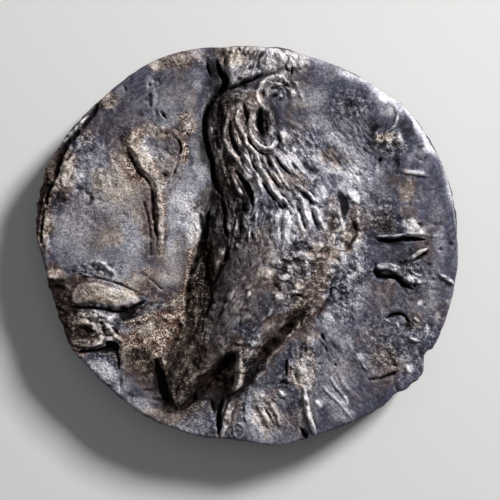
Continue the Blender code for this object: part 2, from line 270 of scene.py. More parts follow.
# Smaller areas of the face
CREST = [
    (226, 46), (246, 38), (268, 42), (283, 50), (288, 60), (279, 69), (263, 77), (246, 82), (229, 89),
    (226, 76), (225, 60)]
TAIL_GAP = [
    (188, 404), (198, 390), (206, 379), (215, 369), (225, 359), (234, 356), (233, 366), (235, 376),
    (231, 388), (226, 397), (216, 402), (207, 397), (197, 401)]
CUP = [
    (138, 124), (156, 122), (172, 126), (184, 134), (186, 150), (179, 169), (171, 184), (160, 191),
    (150, 184), (138, 176), (129, 162), (123, 146), (128, 132)]
BAND = [
    (73, 304), (71, 294), (76, 285), (88, 281), (102, 283), (116, 288), (128, 292), (139, 296),
    (139, 303), (128, 307), (117, 309), (105, 307), (95, 304), (84, 305)]
SLOT = [
    (79, 350), (92, 350), (104, 347), (106, 342), (112, 341), (117, 344), (118, 352), (104, 353),
    (92, 353), (79, 354)]
HOLLOW = [
    (335, 190), (342, 189), (348, 196), (350, 207), (348, 219), (341, 218), (338, 206), (337, 198)]
BLOCK = [
    (347, 193), (357, 190), (362, 197), (360, 205), (352, 203)]
BREAST = [
    (275, 214), (283, 208), (293, 210), (299, 224), (295, 240), (286, 248), (278, 240)]
TRENCH = [
    (296, 303), (313, 303), (312, 314), (302, 325), (291, 337), (281, 347), (271, 357), (262, 368),
    (253, 381), (243, 392), (237, 389), (243, 376), (249, 365), (255, 354), (263, 344), (272, 333),
    (281, 322), (289, 312)]
THIGH = [
    (292, 362), (303, 352), (313, 362), (314, 380), (309, 392), (300, 387), (291, 382)]
LOW_CRUST = [
    (84, 362), (98, 358), (110, 362), (117, 373), (113, 385), (99, 382)]
BUMP = [
    (401, 236), (404, 224), (412, 217), (420, 225), (427, 236)]
LEDGE = [
    (54, 142), (62, 156), (56, 178), (45, 204), (40, 230), (38, 262), (26, 262), (22, 200), (34, 156)]

# Areas that rise (above 0) or are sunk: outline, soft edge, rise
AREAS = [
    (CREST, 6.0, 6.0), (TAIL_GAP, 8.0, -3.0), (CUP, 11.0, 3.0), (BAND, 4.5, 3.6), (SLOT, 2.5, -6.0),
    (LOW_CRUST, 9.0, 3.0), (BUMP, 6.0, 4.0), (LEDGE, 5.0, -4.0)]

# Areas painted paler (above 0) or darker, partly their own toning and partly painted highlight and painted
# shadow, such as the shadow in the tail gap: outline, soft edge, amount
SHADED = [
    (BAND, 4.0, 1.0), (TAIL_GAP, 6.0, -2.0), (SLOT, 2.5, -2.0), (HOLLOW, 4.0, -2.4), (BLOCK, 3.0, 1.8),
    (BREAST, 4.0, 1.9), (TRENCH, 8.0, -1.3), (THIGH, 6.0, 1.2), (LOW_CRUST, 7.0, 1.3)]

# Strokes are (width, rise or depth, points)
HEAD_RIDGES = [
    (4.5, 4, [(289, 84), (283, 79), (276, 76), (268, 79), (261, 85), (258, 92), (258, 99), (263, 106)]),
    (3.5, 3, [(285, 84), (277, 84), (270, 86)]),
    (9, 2.5, [(266, 92), (267, 99)]),
    (5, 6, [(250, 129), (253, 140), (260, 148), (267, 150), (273, 147), (276, 140), (272, 135)]),
    (4.5, 4, [(251, 112), (250, 121), (250, 130)]),
    (5.5, 4.5, [(238, 110), (238, 121), (243, 134), (248, 147), (255, 155), (258, 166), (267, 180),
                (277, 195), (287, 205)]),
    (8, 6, [(281, 134), (283, 140)]),
    (5, 4, [(278, 127), (280, 131)]),
    (7, 3, [(299, 91), (303, 98)]),
    (16, 1.8, [(268, 60), (280, 57), (292, 60), (303, 66)]),
    (5, 3, [(286, 88), (292, 92), (290, 98)]),
    (4, 3, [(290, 80), (296, 84), (297, 90)]),
    (7, 3.5, [(269, 112), (270, 123), (269, 133)])]
HEAD_CUTS = [
    (4, 4, [(206, 58), (207, 66), (210, 76)]),
    (9, 11, [(217, 62), (220, 72), (226, 82), (222, 90), (214, 98)]),
    (3, 4, [(228, 91), (240, 86), (252, 81), (263, 75)]),
    (4, 4, [(285, 66), (289, 70)]),
    (4, 4, [(292, 66), (291, 74)]),
    (9, 11, [(260, 109), (260, 119), (260, 128), (263, 137)]),
    (4.5, 6, [(243, 103), (246, 113), (248, 124)]),
    (3.5, 5, [(247, 137), (252, 147), (260, 155), (269, 156)]),
    (5, 3, [(264, 87), (263, 98)]),
    (7, 4, [(265, 158), (269, 165), (272, 171)])]
NECK_RIDGES = [
    (4, 3, [(217, 101), (214, 109), (213, 120)]),
    (4.5, 3, [(209, 124), (211, 138), (216, 151)]),
    (4, 3, [(218, 127), (219, 138), (223, 149)]),
    (6, 4.5, [(225, 106), (226, 120), (224, 134), (226, 146), (234, 157), (240, 169)]),
    (6, 3, [(235, 128), (237, 140), (241, 150)]),
    (6.5, 4, [(242, 146), (246, 158), (252, 168)]),
    (5, 5.5, [(254, 173), (258, 183), (262, 195)]),
    (4, 3, [(222, 164), (226, 176), (229, 188)]),
    (5, 5, [(231, 177), (236, 187), (243, 197)]),
    (9, 4.5, [(284, 148), (294, 161), (306, 176)]),
    (4, 3.5, [(268, 157), (275, 168), (282, 179)]),
    (4, 4, [(276, 168), (281, 180), (288, 190)]),
    (3.5, 3, [(270, 163), (274, 175), (282, 188)]),
    (3.5, 3, [(286, 160), (292, 170), (300, 180)]),
    (3.5, 3, [(262, 158), (266, 168), (272, 178)])]
NECK_CUTS = [
    (6, 5.5, [(220, 101), (219, 110), (218, 118)]),
    (5, 5, [(231, 121), (231, 134), (234, 146), (239, 156)]),
    (6, 9, [(217, 96), (211, 102), (206, 113), (204, 126), (205, 138), (208, 148), (212, 161), (213, 176),
            (218, 188), (222, 197)]),
    (3.5, 5, [(262, 184), (268, 193), (274, 200)]),
    (3.5, 4, [(248, 156), (252, 166), (257, 175)]),
    (7, 8, [(235, 172), (240, 179), (245, 186), (250, 196), (252, 206)]),
    (14, 4, [(224, 158), (226, 174)]),
    (3.5, 4, [(274, 158), (282, 168), (292, 178)]),
    (3, 3.5, [(272, 180), (279, 189)]),
    (3, 3.5, [(266, 170), (270, 178)])]
SHOULDER_RIDGES = [
    (4.5, 5, [(270, 189), (277, 196), (284, 203), (292, 213)]),
    (5.5, 5, [(292, 199), (299, 198), (303, 205), (304, 213), (307, 222), (309, 230)]),
    (4.5, 5, [(296, 186), (304, 191), (310, 197), (317, 205)]),
    (5.5, 5, [(311, 208), (316, 213), (319, 221), (325, 230)]),
    (13, 4, [(317, 184), (322, 191), (322, 199)]),
    (12, 4, [(285, 208), (286, 222), (286, 240)]),
    (4, 3, [(269, 208), (272, 222), (272, 238)]),
    (5, 3, [(297, 214), (299, 224), (302, 233)]),
    (12, 5, [(350, 196), (358, 203)]),
    (4, 4, [(256, 212), (255, 222)]),
    (4, 2.5, [(337, 208), (341, 225), (342, 240)]),
    (7, 3, [(341, 250), (341, 263)]),
    (5, 3, [(333, 236), (332, 245)])]
SHOULDER_CUTS = [
    (4, 1, [(292, 203), (298, 210), (302, 220), (305, 230)]),
    (5, 2.5, [(300, 192), (306, 198), (313, 206)]),
    (4, 2, [(310, 213), (314, 222), (319, 231)]),
    (4.5, 2, [(268, 195), (275, 202), (283, 210)]),
    (12, 3, [(340, 194), (344, 204), (345, 216)]),
    (5, 3, [(353, 222), (356, 231), (353, 240), (348, 249)]),
    (3, 3, [(270, 226), (270, 235)])]
BACK_RIDGES = [
    (4, 5, [(219, 216), (216, 226), (213, 237)]),
    (9, 4, [(221, 242), (223, 250), (220, 260)]),
    (5, 3, [(217, 262), (216, 270), (215, 278)]),
    (6, 4, [(228, 197), (231, 206), (233, 216)]),
    (4, 5, [(237, 219), (237, 227), (235, 236)]),
    (4, 4, [(237, 198), (241, 203), (238, 209), (235, 204), (237, 198)]),
    (5, 4, [(247, 200), (249, 208), (246, 216)]),
    (7, 5, [(236, 244), (238, 249)]),
    (4, 5, [(257, 211), (255, 221)]),
    (4, 4, [(250, 230), (249, 241)]),
    (4, 2.5, [(262, 208), (268, 214), (276, 218)]),
    (4, 2.5, [(244, 208), (243, 220), (241, 232)]),
    (22, 3, [(258, 262), (246, 284), (232, 306), (220, 330)]),
    (16, 2.5, [(284, 288), (268, 306), (250, 326), (238, 340)]),
    (8, 2, [(210, 292), (206, 308), (200, 322)])]
BACK_CUTS = [
    (5, 8, [(221, 199), (224, 212), (225, 226), (229, 240)]),
    (4, 7, [(209, 212), (208, 226), (206, 240), (203, 252)]),
    (6, 9, [(243, 203), (243, 212)]),
    (3, 5, [(252, 232), (254, 241)]),
    (4, 6, [(241, 222), (240, 234)]),
    (5, 7, [(229, 248), (226, 258), (219, 272), (214, 284)]),
    (5, 6, [(211, 246), (208, 262), (210, 280)]),
    (4, 5, [(213, 290), (211, 304), (204, 318)]),
    (5, 4, [(262, 258), (263, 263)]),
    (8, 3, [(200, 214), (203, 228), (201, 246), (196, 261), (192, 275), (189, 292), (186, 312)]),
    (14, 2.5, [(272, 296), (260, 313), (243, 331), (228, 348)]),
    (8, 4, [(274, 282), (279, 290)]),
    (4, 4, [(290, 297), (297, 294), (303, 299)]),
    (4, 3, [(342, 268), (333, 280), (329, 296), (321, 309), (317, 319)])]
TAIL_RIDGES = [
    (8, 3, [(218, 376), (227, 378)]),
    (8, 3, [(222, 387), (229, 384)]),
    (10, 4, [(239, 378), (243, 384)]),
    (17, 1.5, [(272, 324), (260, 335), (250, 347), (244, 360)]),
    (6, 1.6, [(322, 296), (311, 309), (300, 322), (289, 334), (279, 344)])]
TAIL_CUTS = [
    (4, 2, [(174, 397), (181, 380), (188, 366)]),
    (3, 4, [(235, 371), (244, 372), (252, 370)]),
    (13, 5, [(303, 314), (291, 326), (280, 337), (270, 347), (261, 358), (254, 369), (248, 380),
             (240, 391)]),
    (6, 4, [(288, 329), (277, 339), (267, 349), (259, 359), (252, 371), (246, 382)]),
    (14, 9, [(155, 361), (158, 374), (164, 390), (176, 408)]),
    (9, 7, [(180, 411), (193, 399), (205, 387), (215, 374), (225, 363), (233, 357)])]
LEG_RIDGES = [
    (9, 6, [(240, 394), (233, 402), (228, 413), (225, 425), (221, 437)]),
    (3, 2, [(234, 424), (240, 423), (243, 430), (240, 437), (234, 436), (232, 430), (234, 424)]),
    (7, 3, [(279, 392), (284, 397)]),
    (14, 3, [(312, 332), (308, 348), (302, 364)]),
    (22, 4, [(301, 364), (302, 380)]),
    (6.5, 6, [(304, 388), (307, 404), (310, 419), (315, 436)]),
    (7, 4, [(317, 402), (320, 407)]),
    (6, 3, [(257, 402), (263, 413), (269, 427)]),
    (5, 2.5, [(268, 400), (276, 412), (280, 426)]),
    (6, 2.5, [(250, 388), (248, 404), (246, 420)])]
LEG_CUTS = [
    (12, 4, [(281, 382), (290, 383)]),
    (3, 7, [(286, 358), (286, 377)]),
    (15, 1.5, [(286, 404), (286, 419)]),
    (6, 6, [(301, 428), (305, 435), (308, 443)]),
    (6, 8, [(223, 399), (220, 411), (219, 423), (217, 435)]),
    (6, 5, [(211, 400), (213, 411)]),
    (3, 1.8, [(262, 404), (268, 414), (274, 426)]),
    (5, 5, [(286, 379), (278, 384)])]
CUP_RIDGES = [
    (8, 4, [(159, 189), (161, 206), (161, 222), (160, 238), (160, 252)]),
    (14, 3, [(174, 125), (188, 127)]),
    (15, 2.5, [(133, 132), (137, 146), (144, 159), (152, 172), (158, 184)]),
    (8, 2.5, [(182, 150), (180, 164), (172, 178), (165, 188)])]
CUP_CUTS = [
    (5, 3, [(125, 144), (129, 154), (134, 164), (140, 173), (147, 180), (152, 188)]),
    (5, 3.5, [(152, 188), (153, 204), (153, 220), (157, 238)]),
    (24, 3, [(162, 143), (165, 151)]),
    (3.5, 5, [(172, 135), (179, 141), (181, 149), (178, 157)]),
    (3, 3, [(180, 158), (176, 170), (170, 180), (165, 187)]),
    (7, 3, [(163, 175), (167, 176)]),
    (3.5, 5, [(160, 111), (165, 118)]),
    (3.5, 1.8, [(143, 200), (146, 213), (149, 229), (151, 258)]),
    (5, 4, [(186, 132), (188, 136)]),
    (4, 2, [(158, 132), (170, 134)])]
CRUST_RIDGES = [
    (5, 3.5, [(95, 262), (104, 264), (111, 270), (114, 277), (108, 283)]),
    (10, 5, [(84, 315), (96, 314), (108, 317)]),
    (9, 5, [(104, 319), (116, 318)]),
    (5, 5, [(103, 320), (110, 328), (117, 337), (122, 341)]),
    (12, 5, [(71, 341), (88, 343), (103, 340), (117, 338)]),
    (5, 4, [(107, 350), (116, 349)]),
    (18, 6, [(47, 275), (56, 275), (65, 277)]),
    (12, 4, [(71, 164), (66, 175), (62, 185)]),
    (10, 4, [(102, 104), (110, 94)])]
CRUST_CUTS = [
    (3, 2.5, [(78, 280), (90, 278), (106, 280), (122, 285), (138, 292)]),
    (4, 5, [(70, 307), (84, 308), (97, 308), (110, 311), (122, 312), (134, 307), (146, 300)]),
    (12, 6, [(122, 307), (128, 314), (138, 303)]),
    (10, 3, [(71, 309), (77, 318)]),
    (12, 3.5, [(76, 331), (84, 329), (93, 333)]),
    (4, 3, [(101, 327), (106, 332)]),
    (6, 4, [(113, 328), (119, 337)]),
    (3.5, 5, [(116, 350), (118, 360), (118, 369)]),
    (5, 9, [(90, 376), (98, 383), (106, 389), (118, 400)]),
    (8, 3, [(46, 289), (58, 288), (68, 291)]),
    (2.5, 1.6, [(140, 272), (151, 281), (163, 291)]),
    (4, 3, [(95, 359), (98, 362)])]
FIELD_RIDGES = [
    (4.5, 2, [(388, 101), (395, 106), (397, 115), (394, 126), (386, 133)]),
    (6, 3, [(401, 171), (414, 172), (429, 176)]),
    (18, 3, [(408, 182), (406, 196)]),
    (4, 4, [(376, 236), (392, 237), (408, 235), (424, 235)]),
    (5.5, 4, [(402, 262), (414, 256), (427, 249)]),
    (10, 5, [(371, 269), (384, 266), (396, 269), (405, 275), (414, 280), (425, 282)]),
    (4, 4, [(411, 268), (416, 275), (424, 274)]),
    (4, 2, [(426, 236), (437, 237)]),
    (4, 4, [(439, 274), (450, 281), (461, 288)]),
    (4, 4, [(409, 338), (422, 341)]),
    (6, 4, [(396, 323), (398, 327)]),
    (6, 4, [(415, 318), (419, 322)]),
    (5, 4, [(427, 324), (427, 330)]),
    (8, 5, [(407, 367), (411, 373)]),
    (3, 1.5, [(324, 388), (338, 403), (352, 419)]),
    (3, 1.5, [(330, 377), (338, 389), (347, 403)]),
    (5, 3, [(362, 362), (367, 370)])]
FIELD_CUTS = [
    (24, 1.0, [(384, 112), (384, 119)]),
    (15, 2.5, [(405, 113), (409, 126), (405, 137)]),
    (6, 3, [(382, 152), (379, 169)]),
    (10, 2.5, [(397, 151), (396, 172)]),
    (5, 6, [(377, 240), (392, 242), (408, 240), (424, 240)]),
    (3, 4, [(413, 262), (421, 257), (427, 252)]),
    (6, 5, [(375, 263), (375, 271), (381, 277), (397, 278), (403, 284), (413, 289)]),
    (4, 6, [(385, 318), (393, 315), (404, 315), (410, 324)]),
    (4, 5, [(368, 380), (383, 378), (398, 372)]),
    (6, 5, [(322, 335), (324, 340)]),
    (5, 5, [(325, 346), (326, 352)]),
    (4, 4, [(397, 384), (399, 394)]),
    (3, 1.5, [(427, 146), (419, 148), (417, 156), (424, 161), (428, 154)])]
LIP_RIDGES = [
    (5, 5, [(55, 150), (64, 140), (75, 129), (87, 116)]),
    (9, 3, [(74, 152), (68, 164), (62, 178)])]
LIP_CUTS = [
    (7, 5.5, [(97, 104), (90, 117), (80, 128), (70, 140), (62, 152), (58, 168), (53, 182)]),
    (5, 4.5, [(53, 180), (48, 196), (44, 212), (42, 228), (40, 244)]),
    (5, 4, [(60, 158), (66, 160), (70, 154)]),
    (9, 4, [(62, 194), (64, 204)])]
REGIONS = [
    (HEAD_RIDGES, HEAD_CUTS), (NECK_RIDGES, NECK_CUTS), (SHOULDER_RIDGES, SHOULDER_CUTS),
    (BACK_RIDGES, BACK_CUTS), (TAIL_RIDGES, TAIL_CUTS), (LEG_RIDGES, LEG_CUTS), (CUP_RIDGES, CUP_CUTS),
    (CRUST_RIDGES, CRUST_CUTS), (FIELD_RIDGES, FIELD_CUTS), (LIP_RIDGES, LIP_CUTS)]

# Domes: centre, reach each way
PELLETS = [
    (296, 239, 5, 4), (304, 238, 4.5, 3.5), (311, 242, 5, 4), (317, 246, 6, 5), (297, 254, 6, 4.5),
    (304, 257, 6, 4), (311, 258, 5, 4), (288, 257, 6, 4), (292, 269, 6, 6.5), (306, 266, 5, 5),
    (308, 276, 4, 4), (285, 277, 5.5, 3.5), (279, 296, 4.5, 3.5), (297, 285, 4, 3.5), (302, 282, 3.5, 3),
    (303, 290, 4, 3), (294, 291, 4, 3), (318, 255, 4, 4), (276, 262, 5, 6), (268, 274, 4, 5)]

# Patches of feathers, strands and lumps: centre, reach each way, direction in degrees, length, width, rise
SCALES = [
    (246, 62, 24, 22, -62, 34, 4, 2.6), (262, 160, 26, 32, 52, 20, 5.5, 2.2),
    (296, 192, 28, 26, 54, 20, 5, 3.0), (300, 148, 24, 34, 50, 20, 5.5, 1.8),
    (254, 226, 40, 28, 100, 16, 5.5, 2.4), (218, 232, 14, 42, 104, 16, 6, 3.0),
    (284, 226, 14, 22, 92, 22, 6, 2.4), (300, 266, 22, 36, 25, 7, 5, 2.2),
    (340, 255, 18, 62, -78, 12, 6, 2.6), (240, 310, 42, 46, -56, 24, 14, 1.8),
    (186, 376, 22, 36, -62, 12, 5, 1.6), (268, 412, 20, 20, 50, 11, 7, 2.2),
    (345, 345, 58, 62, 54, 46, 8, 0.8), (98, 320, 28, 16, 10, 9, 7, 4.6),
    (155, 335, 38, 38, 40, 6, 5, 1.6), (148, 146, 30, 26, 20, 6, 5, 1.4),
    (222, 140, 14, 50, 84, 16, 5, 1.6), (302, 368, 18, 26, 80, 9, 6, 1.6),
    (398, 345, 40, 34, 50, 24, 9, 1.4), (382, 216, 20, 18, 30, 7, 5, 1.5),
    (288, 60, 22, 12, 15, 7, 5, 3.0), (282, 89, 14, 12, 30, 7, 5, 3.4),
    (200, 290, 12, 56, 100, 14, 5, 3.4), (160, 218, 8, 36, 90, 20, 4.5, 1.2),
    (95, 270, 24, 8, 10, 6, 5, 2.6), (412, 276, 20, 14, 30, 7, 5, 2.2), (388, 142, 20, 12, 90, 8, 6, 2.2),
    (410, 190, 16, 18, 60, 7, 5, 1.2), (105, 295, 32, 10, 8, 40, 4.5, 1.5),
    (360, 190, 16, 50, 62, 26, 4, 1.0), (348, 158, 30, 36, 55, 20, 6, 0.9),
    (44, 190, 12, 60, -75, 18, 5, 3.4), (66, 150, 22, 40, -60, 16, 6, 2.6),
    (60, 318, 12, 24, 80, 9, 7, 3.6), (222, 380, 14, 12, 20, 10, 7, 2.6),
    (350, 105, 24, 16, 20, 8, 6, 1.5), (232, 226, 16, 26, 98, 18, 6, 0.9)]

# Patches of fine combed streaks: centre, reach each way, direction in degrees, amount
COMBED = [
    (246, 60, 26, 24, -58, 0.9), (216, 128, 12, 50, 88, 0.3), (238, 132, 14, 34, 76, 0.4),
    (262, 165, 20, 22, 52, 0.5), (298, 158, 26, 30, 52, 0.7), (300, 204, 28, 24, 60, 0.6),
    (282, 228, 14, 24, 92, 0.8), (220, 225, 18, 48, 104, 0.6), (250, 228, 18, 34, 98, 0.5),
    (232, 300, 34, 50, -54, 0.15), (286, 306, 24, 30, -50, 0.2), (186, 372, 22, 36, -62, 0.2),
    (257, 355, 14, 24, -58, 0.4), (198, 290, 10, 50, 98, 0.5), (345, 160, 34, 44, 54, 0.55),
    (366, 195, 12, 26, 64, 0.4), (340, 335, 34, 44, 56, 0.25), (340, 395, 30, 24, 50, 0.2),
    (105, 294, 34, 10, 16, 0.2), (266, 412, 24, 24, 52, 0.5), (160, 222, 9, 40, 90, 0.4),
    (304, 375, 14, 30, 84, 0.4), (338, 250, 16, 44, -74, 0.4), (190, 226, 14, 20, 60, 0.15),
    (150, 90, 50, 24, -32, 0.2), (400, 300, 30, 40, 60, 0.25)]

# The tables below give patches by their amount, each as its centre and its reach each way.
# Rough patches, by the height of their grains
ROUGH = {
    0.4: [(240, 300, 40, 60), (330, 110, 40, 40)],
    0.5: [(335, 330, 44, 44), (345, 150, 30, 30), (160, 150, 24, 20)],
    0.6: [(105, 215, 50, 45)],
    0.8: [(360, 190, 14, 44)],
    1.0: [(250, 225, 40, 30)],
    1.1: [(398, 345, 44, 36)],
    1.2: [
        (382, 216, 20, 20), (95, 360, 34, 34), (200, 425, 60, 14), (350, 105, 24, 16), (236, 130, 34, 54)],
    1.3: [(265, 412, 34, 28), (62, 315, 16, 30)],
    1.4: [(148, 145, 32, 26), (246, 62, 26, 20), (110, 170, 24, 26)],
    1.5: [(160, 215, 9, 38)],
    1.6: [
        (155, 335, 40, 40), (76, 140, 20, 30), (186, 374, 26, 40), (190, 218, 14, 26), (176, 60, 36, 9),
        (106, 294, 28, 9)],
    1.8: [(300, 156, 24, 30), (412, 272, 24, 14), (107, 100, 10, 10)],
    2.0: [
        (98, 270, 24, 9), (305, 272, 34, 48), (302, 372, 20, 26), (280, 90, 14, 12), (252, 358, 14, 30),
        (66, 176, 16, 26), (330, 222, 18, 30)],
    2.2: [
        (342, 262, 26, 62), (388, 142, 22, 12), (44, 190, 12, 60), (222, 377, 18, 14), (412, 226, 12, 10),
        (271, 124, 6, 14), (100, 368, 20, 16)],
    2.4: [(98, 322, 28, 16), (200, 290, 13, 58), (285, 62, 24, 14), (228, 165, 12, 18)]}

# Smooth patches, worn or wiped clean
SMOOTH = {
    0.5: [(105, 240, 30, 20), (180, 100, 20, 20), (330, 90, 30, 16)],
    0.6: [(262, 148, 12, 8)],
    0.7: [(430, 200, 18, 60)],
    0.8: [(290, 105, 10, 18), (160, 145, 14, 10), (324, 133, 8, 9), (435, 260, 14, 18)],
    0.9: [(376, 400, 24, 22), (285, 411, 7, 10)],
    1.0: [
        (384, 115, 12, 14), (343, 206, 6, 10), (126, 315, 7, 7), (408, 127, 8, 12), (146, 92, 14, 18),
        (124, 90, 8, 8)]}

# Patches with tan crust (above 0) and without
CRUST_PATCHES = {
    -0.5: [(124, 327, 9, 7), (105, 367, 12, 10), (292, 357, 7, 8)],
    -0.4: [(150, 304, 14, 8)],
    0.2: [(120, 176, 14, 14), (288, 60, 20, 10)],
    0.25: [(318, 284, 9, 16), (312, 296, 10, 9)],
    0.3: [
        (331, 254, 8, 22), (280, 332, 14, 8), (92, 324, 18, 10), (106, 230, 18, 14), (186, 380, 14, 24),
        (62, 332, 8, 18), (102, 294, 26, 8)],
    0.35: [(178, 58, 30, 8)],
    0.4: [
        (406, 188, 9, 14), (412, 228, 12, 7), (385, 362, 22, 12), (54, 277, 12, 9), (266, 414, 12, 16),
        (386, 286, 12, 8), (224, 378, 10, 8)],
    0.5: [(353, 214, 5, 9), (230, 170, 14, 16), (388, 141, 9, 7), (138, 272, 14, 12)],
    0.6: [(108, 99, 8, 10)],
    0.7: [(160, 215, 7, 44), (186, 124, 10, 10), (119, 296, 18, 9), (302, 370, 16, 24), (44, 190, 8, 50)],
    0.8: [(66, 174, 10, 26), (183, 152, 6, 16)],
    0.9: [(193, 300, 10, 58)],
    1.0: [(134, 150, 12, 22), (145, 172, 14, 12), (153, 335, 38, 38)]}

# Patches where the toning is brown and cream (above 0) or blue-grey
WARMTH = {
    -1.4: [(150, 305, 18, 9)],
    -0.8: [(100, 366, 12, 12), (122, 384, 14, 10)],
    -0.7: [(300, 85, 14, 14), (127, 287, 12, 9)],
    -0.6: [
        (122, 318, 12, 8), (152, 148, 8, 8), (185, 185, 14, 20), (125, 322, 12, 10), (107, 366, 12, 9),
        (290, 354, 12, 10), (350, 271, 9, 9), (148, 305, 12, 8), (75, 185, 8, 9), (124, 326, 9, 8),
        (293, 357, 8, 8)],
    -0.5: [
        (408, 124, 12, 12), (298, 352, 8, 8), (390, 272, 20, 20), (398, 254, 20, 8), (404, 350, 12, 12),
        (120, 262, 14, 10), (185, 116, 8, 8), (185, 152, 7, 9), (370, 112, 20, 18), (150, 306, 12, 8),
        (120, 274, 16, 7), (252, 328, 16, 8), (75, 182, 8, 8), (185, 262, 9, 20), (163, 350, 9, 12)],
    -0.4: [
        (345, 300, 14, 50), (432, 218, 14, 18), (128, 240, 9, 10), (166, 232, 6, 12), (396, 160, 8, 9),
        (296, 352, 8, 8), (100, 165, 18, 16), (355, 100, 24, 16), (205, 168, 8, 10), (245, 155, 8, 8),
        (166, 232, 7, 14)],
    -0.3: [(165, 352, 12, 12), (165, 350, 12, 9), (92, 325, 10, 8), (430, 300, 12, 10)],
    -0.15: [(118, 234, 16, 8)],
    0.2: [(110, 130, 24, 10), (180, 56, 30, 8)],
    0.25: [(236, 58, 22, 18), (110, 108, 36, 16), (105, 175, 12, 10)],
    0.3: [
        (95, 205, 44, 50), (288, 60, 22, 12), (150, 280, 14, 10), (143, 232, 12, 10), (178, 90, 14, 18),
        (100, 134, 16, 12), (300, 135, 7, 12), (270, 156, 14, 14), (272, 78, 12, 10), (166, 272, 8, 14),
        (345, 366, 14, 10), (355, 130, 8, 16), (135, 165, 8, 14)],
    0.35: [(286, 326, 20, 18), (157, 400, 18, 9)],
    0.4: [
        (252, 115, 22, 36), (285, 275, 34, 30), (290, 315, 14, 9), (190, 300, 8, 30), (420, 300, 14, 14),
        (192, 305, 9, 34), (134, 160, 9, 12), (270, 280, 12, 14), (240, 350, 24, 10), (60, 195, 8, 9),
        (112, 305, 12, 7), (225, 372, 10, 8), (265, 395, 14, 7), (385, 305, 12, 9), (440, 312, 10, 14),
        (54, 290, 8, 24), (378, 220, 14, 14), (88, 354, 18, 6), (80, 128, 10, 12), (358, 395, 10, 9),
        (146, 356, 12, 7), (218, 182, 8, 12), (318, 262, 9, 14)],
    0.5: [
        (390, 362, 20, 14), (215, 432, 14, 6), (412, 318, 8, 10), (44, 200, 10, 50), (205, 262, 10, 30),
        (136, 158, 10, 12), (262, 240, 12, 14), (332, 215, 9, 14), (360, 225, 6, 22), (240, 56, 28, 8),
        (203, 198, 6, 10), (370, 334, 14, 9), (142, 276, 16, 10), (192, 310, 8, 40), (100, 292, 14, 8),
        (60, 165, 8, 12), (290, 125, 8, 14), (295, 188, 8, 10), (100, 180, 12, 10), (145, 215, 12, 12),
        (320, 285, 8, 12), (335, 230, 8, 9), (296, 80, 12, 10), (308, 232, 9, 8), (70, 165, 9, 12),
        (126, 268, 8, 8), (115, 248, 9, 8), (218, 182, 8, 10), (228, 60, 9, 8), (350, 250, 6, 7)],
    0.6: [
        (225, 290, 36, 80), (226, 150, 24, 60), (295, 420, 14, 18), (280, 180, 20, 10), (80, 342, 18, 10),
        (135, 380, 16, 14), (385, 382, 14, 12), (85, 330, 24, 14), (125, 195, 16, 12), (146, 356, 14, 9),
        (132, 160, 8, 16), (252, 100, 8, 10), (108, 236, 12, 10), (107, 100, 9, 9)],
    0.7: [
        (232, 410, 8, 18), (268, 414, 12, 16), (299, 378, 12, 12), (388, 142, 11, 7), (190, 114, 9, 14),
        (380, 288, 14, 12), (298, 92, 12, 20), (428, 235, 12, 28), (262, 356, 10, 12), (66, 165, 7, 9),
        (410, 212, 8, 8), (284, 346, 10, 9)],
    0.8: [
        (156, 215, 13, 50), (54, 276, 14, 10), (62, 172, 9, 22), (155, 62, 44, 10), (180, 262, 9, 26),
        (300, 330, 16, 9), (270, 352, 9, 8), (300, 318, 12, 10), (185, 140, 7, 9), (191, 328, 11, 20)],
    0.9: [
        (138, 155, 24, 34), (186, 376, 26, 40), (350, 238, 8, 18), (325, 258, 11, 24), (308, 300, 14, 18),
        (222, 376, 24, 16), (408, 186, 14, 13), (44, 195, 10, 60), (174, 172, 9, 24), (333, 161, 12, 7),
        (165, 414, 24, 10)],
    1.0: [(155, 335, 44, 44), (105, 290, 44, 14), (168, 132, 12, 10)],
    1.1: [(280, 332, 18, 14), (65, 325, 24, 38)]}
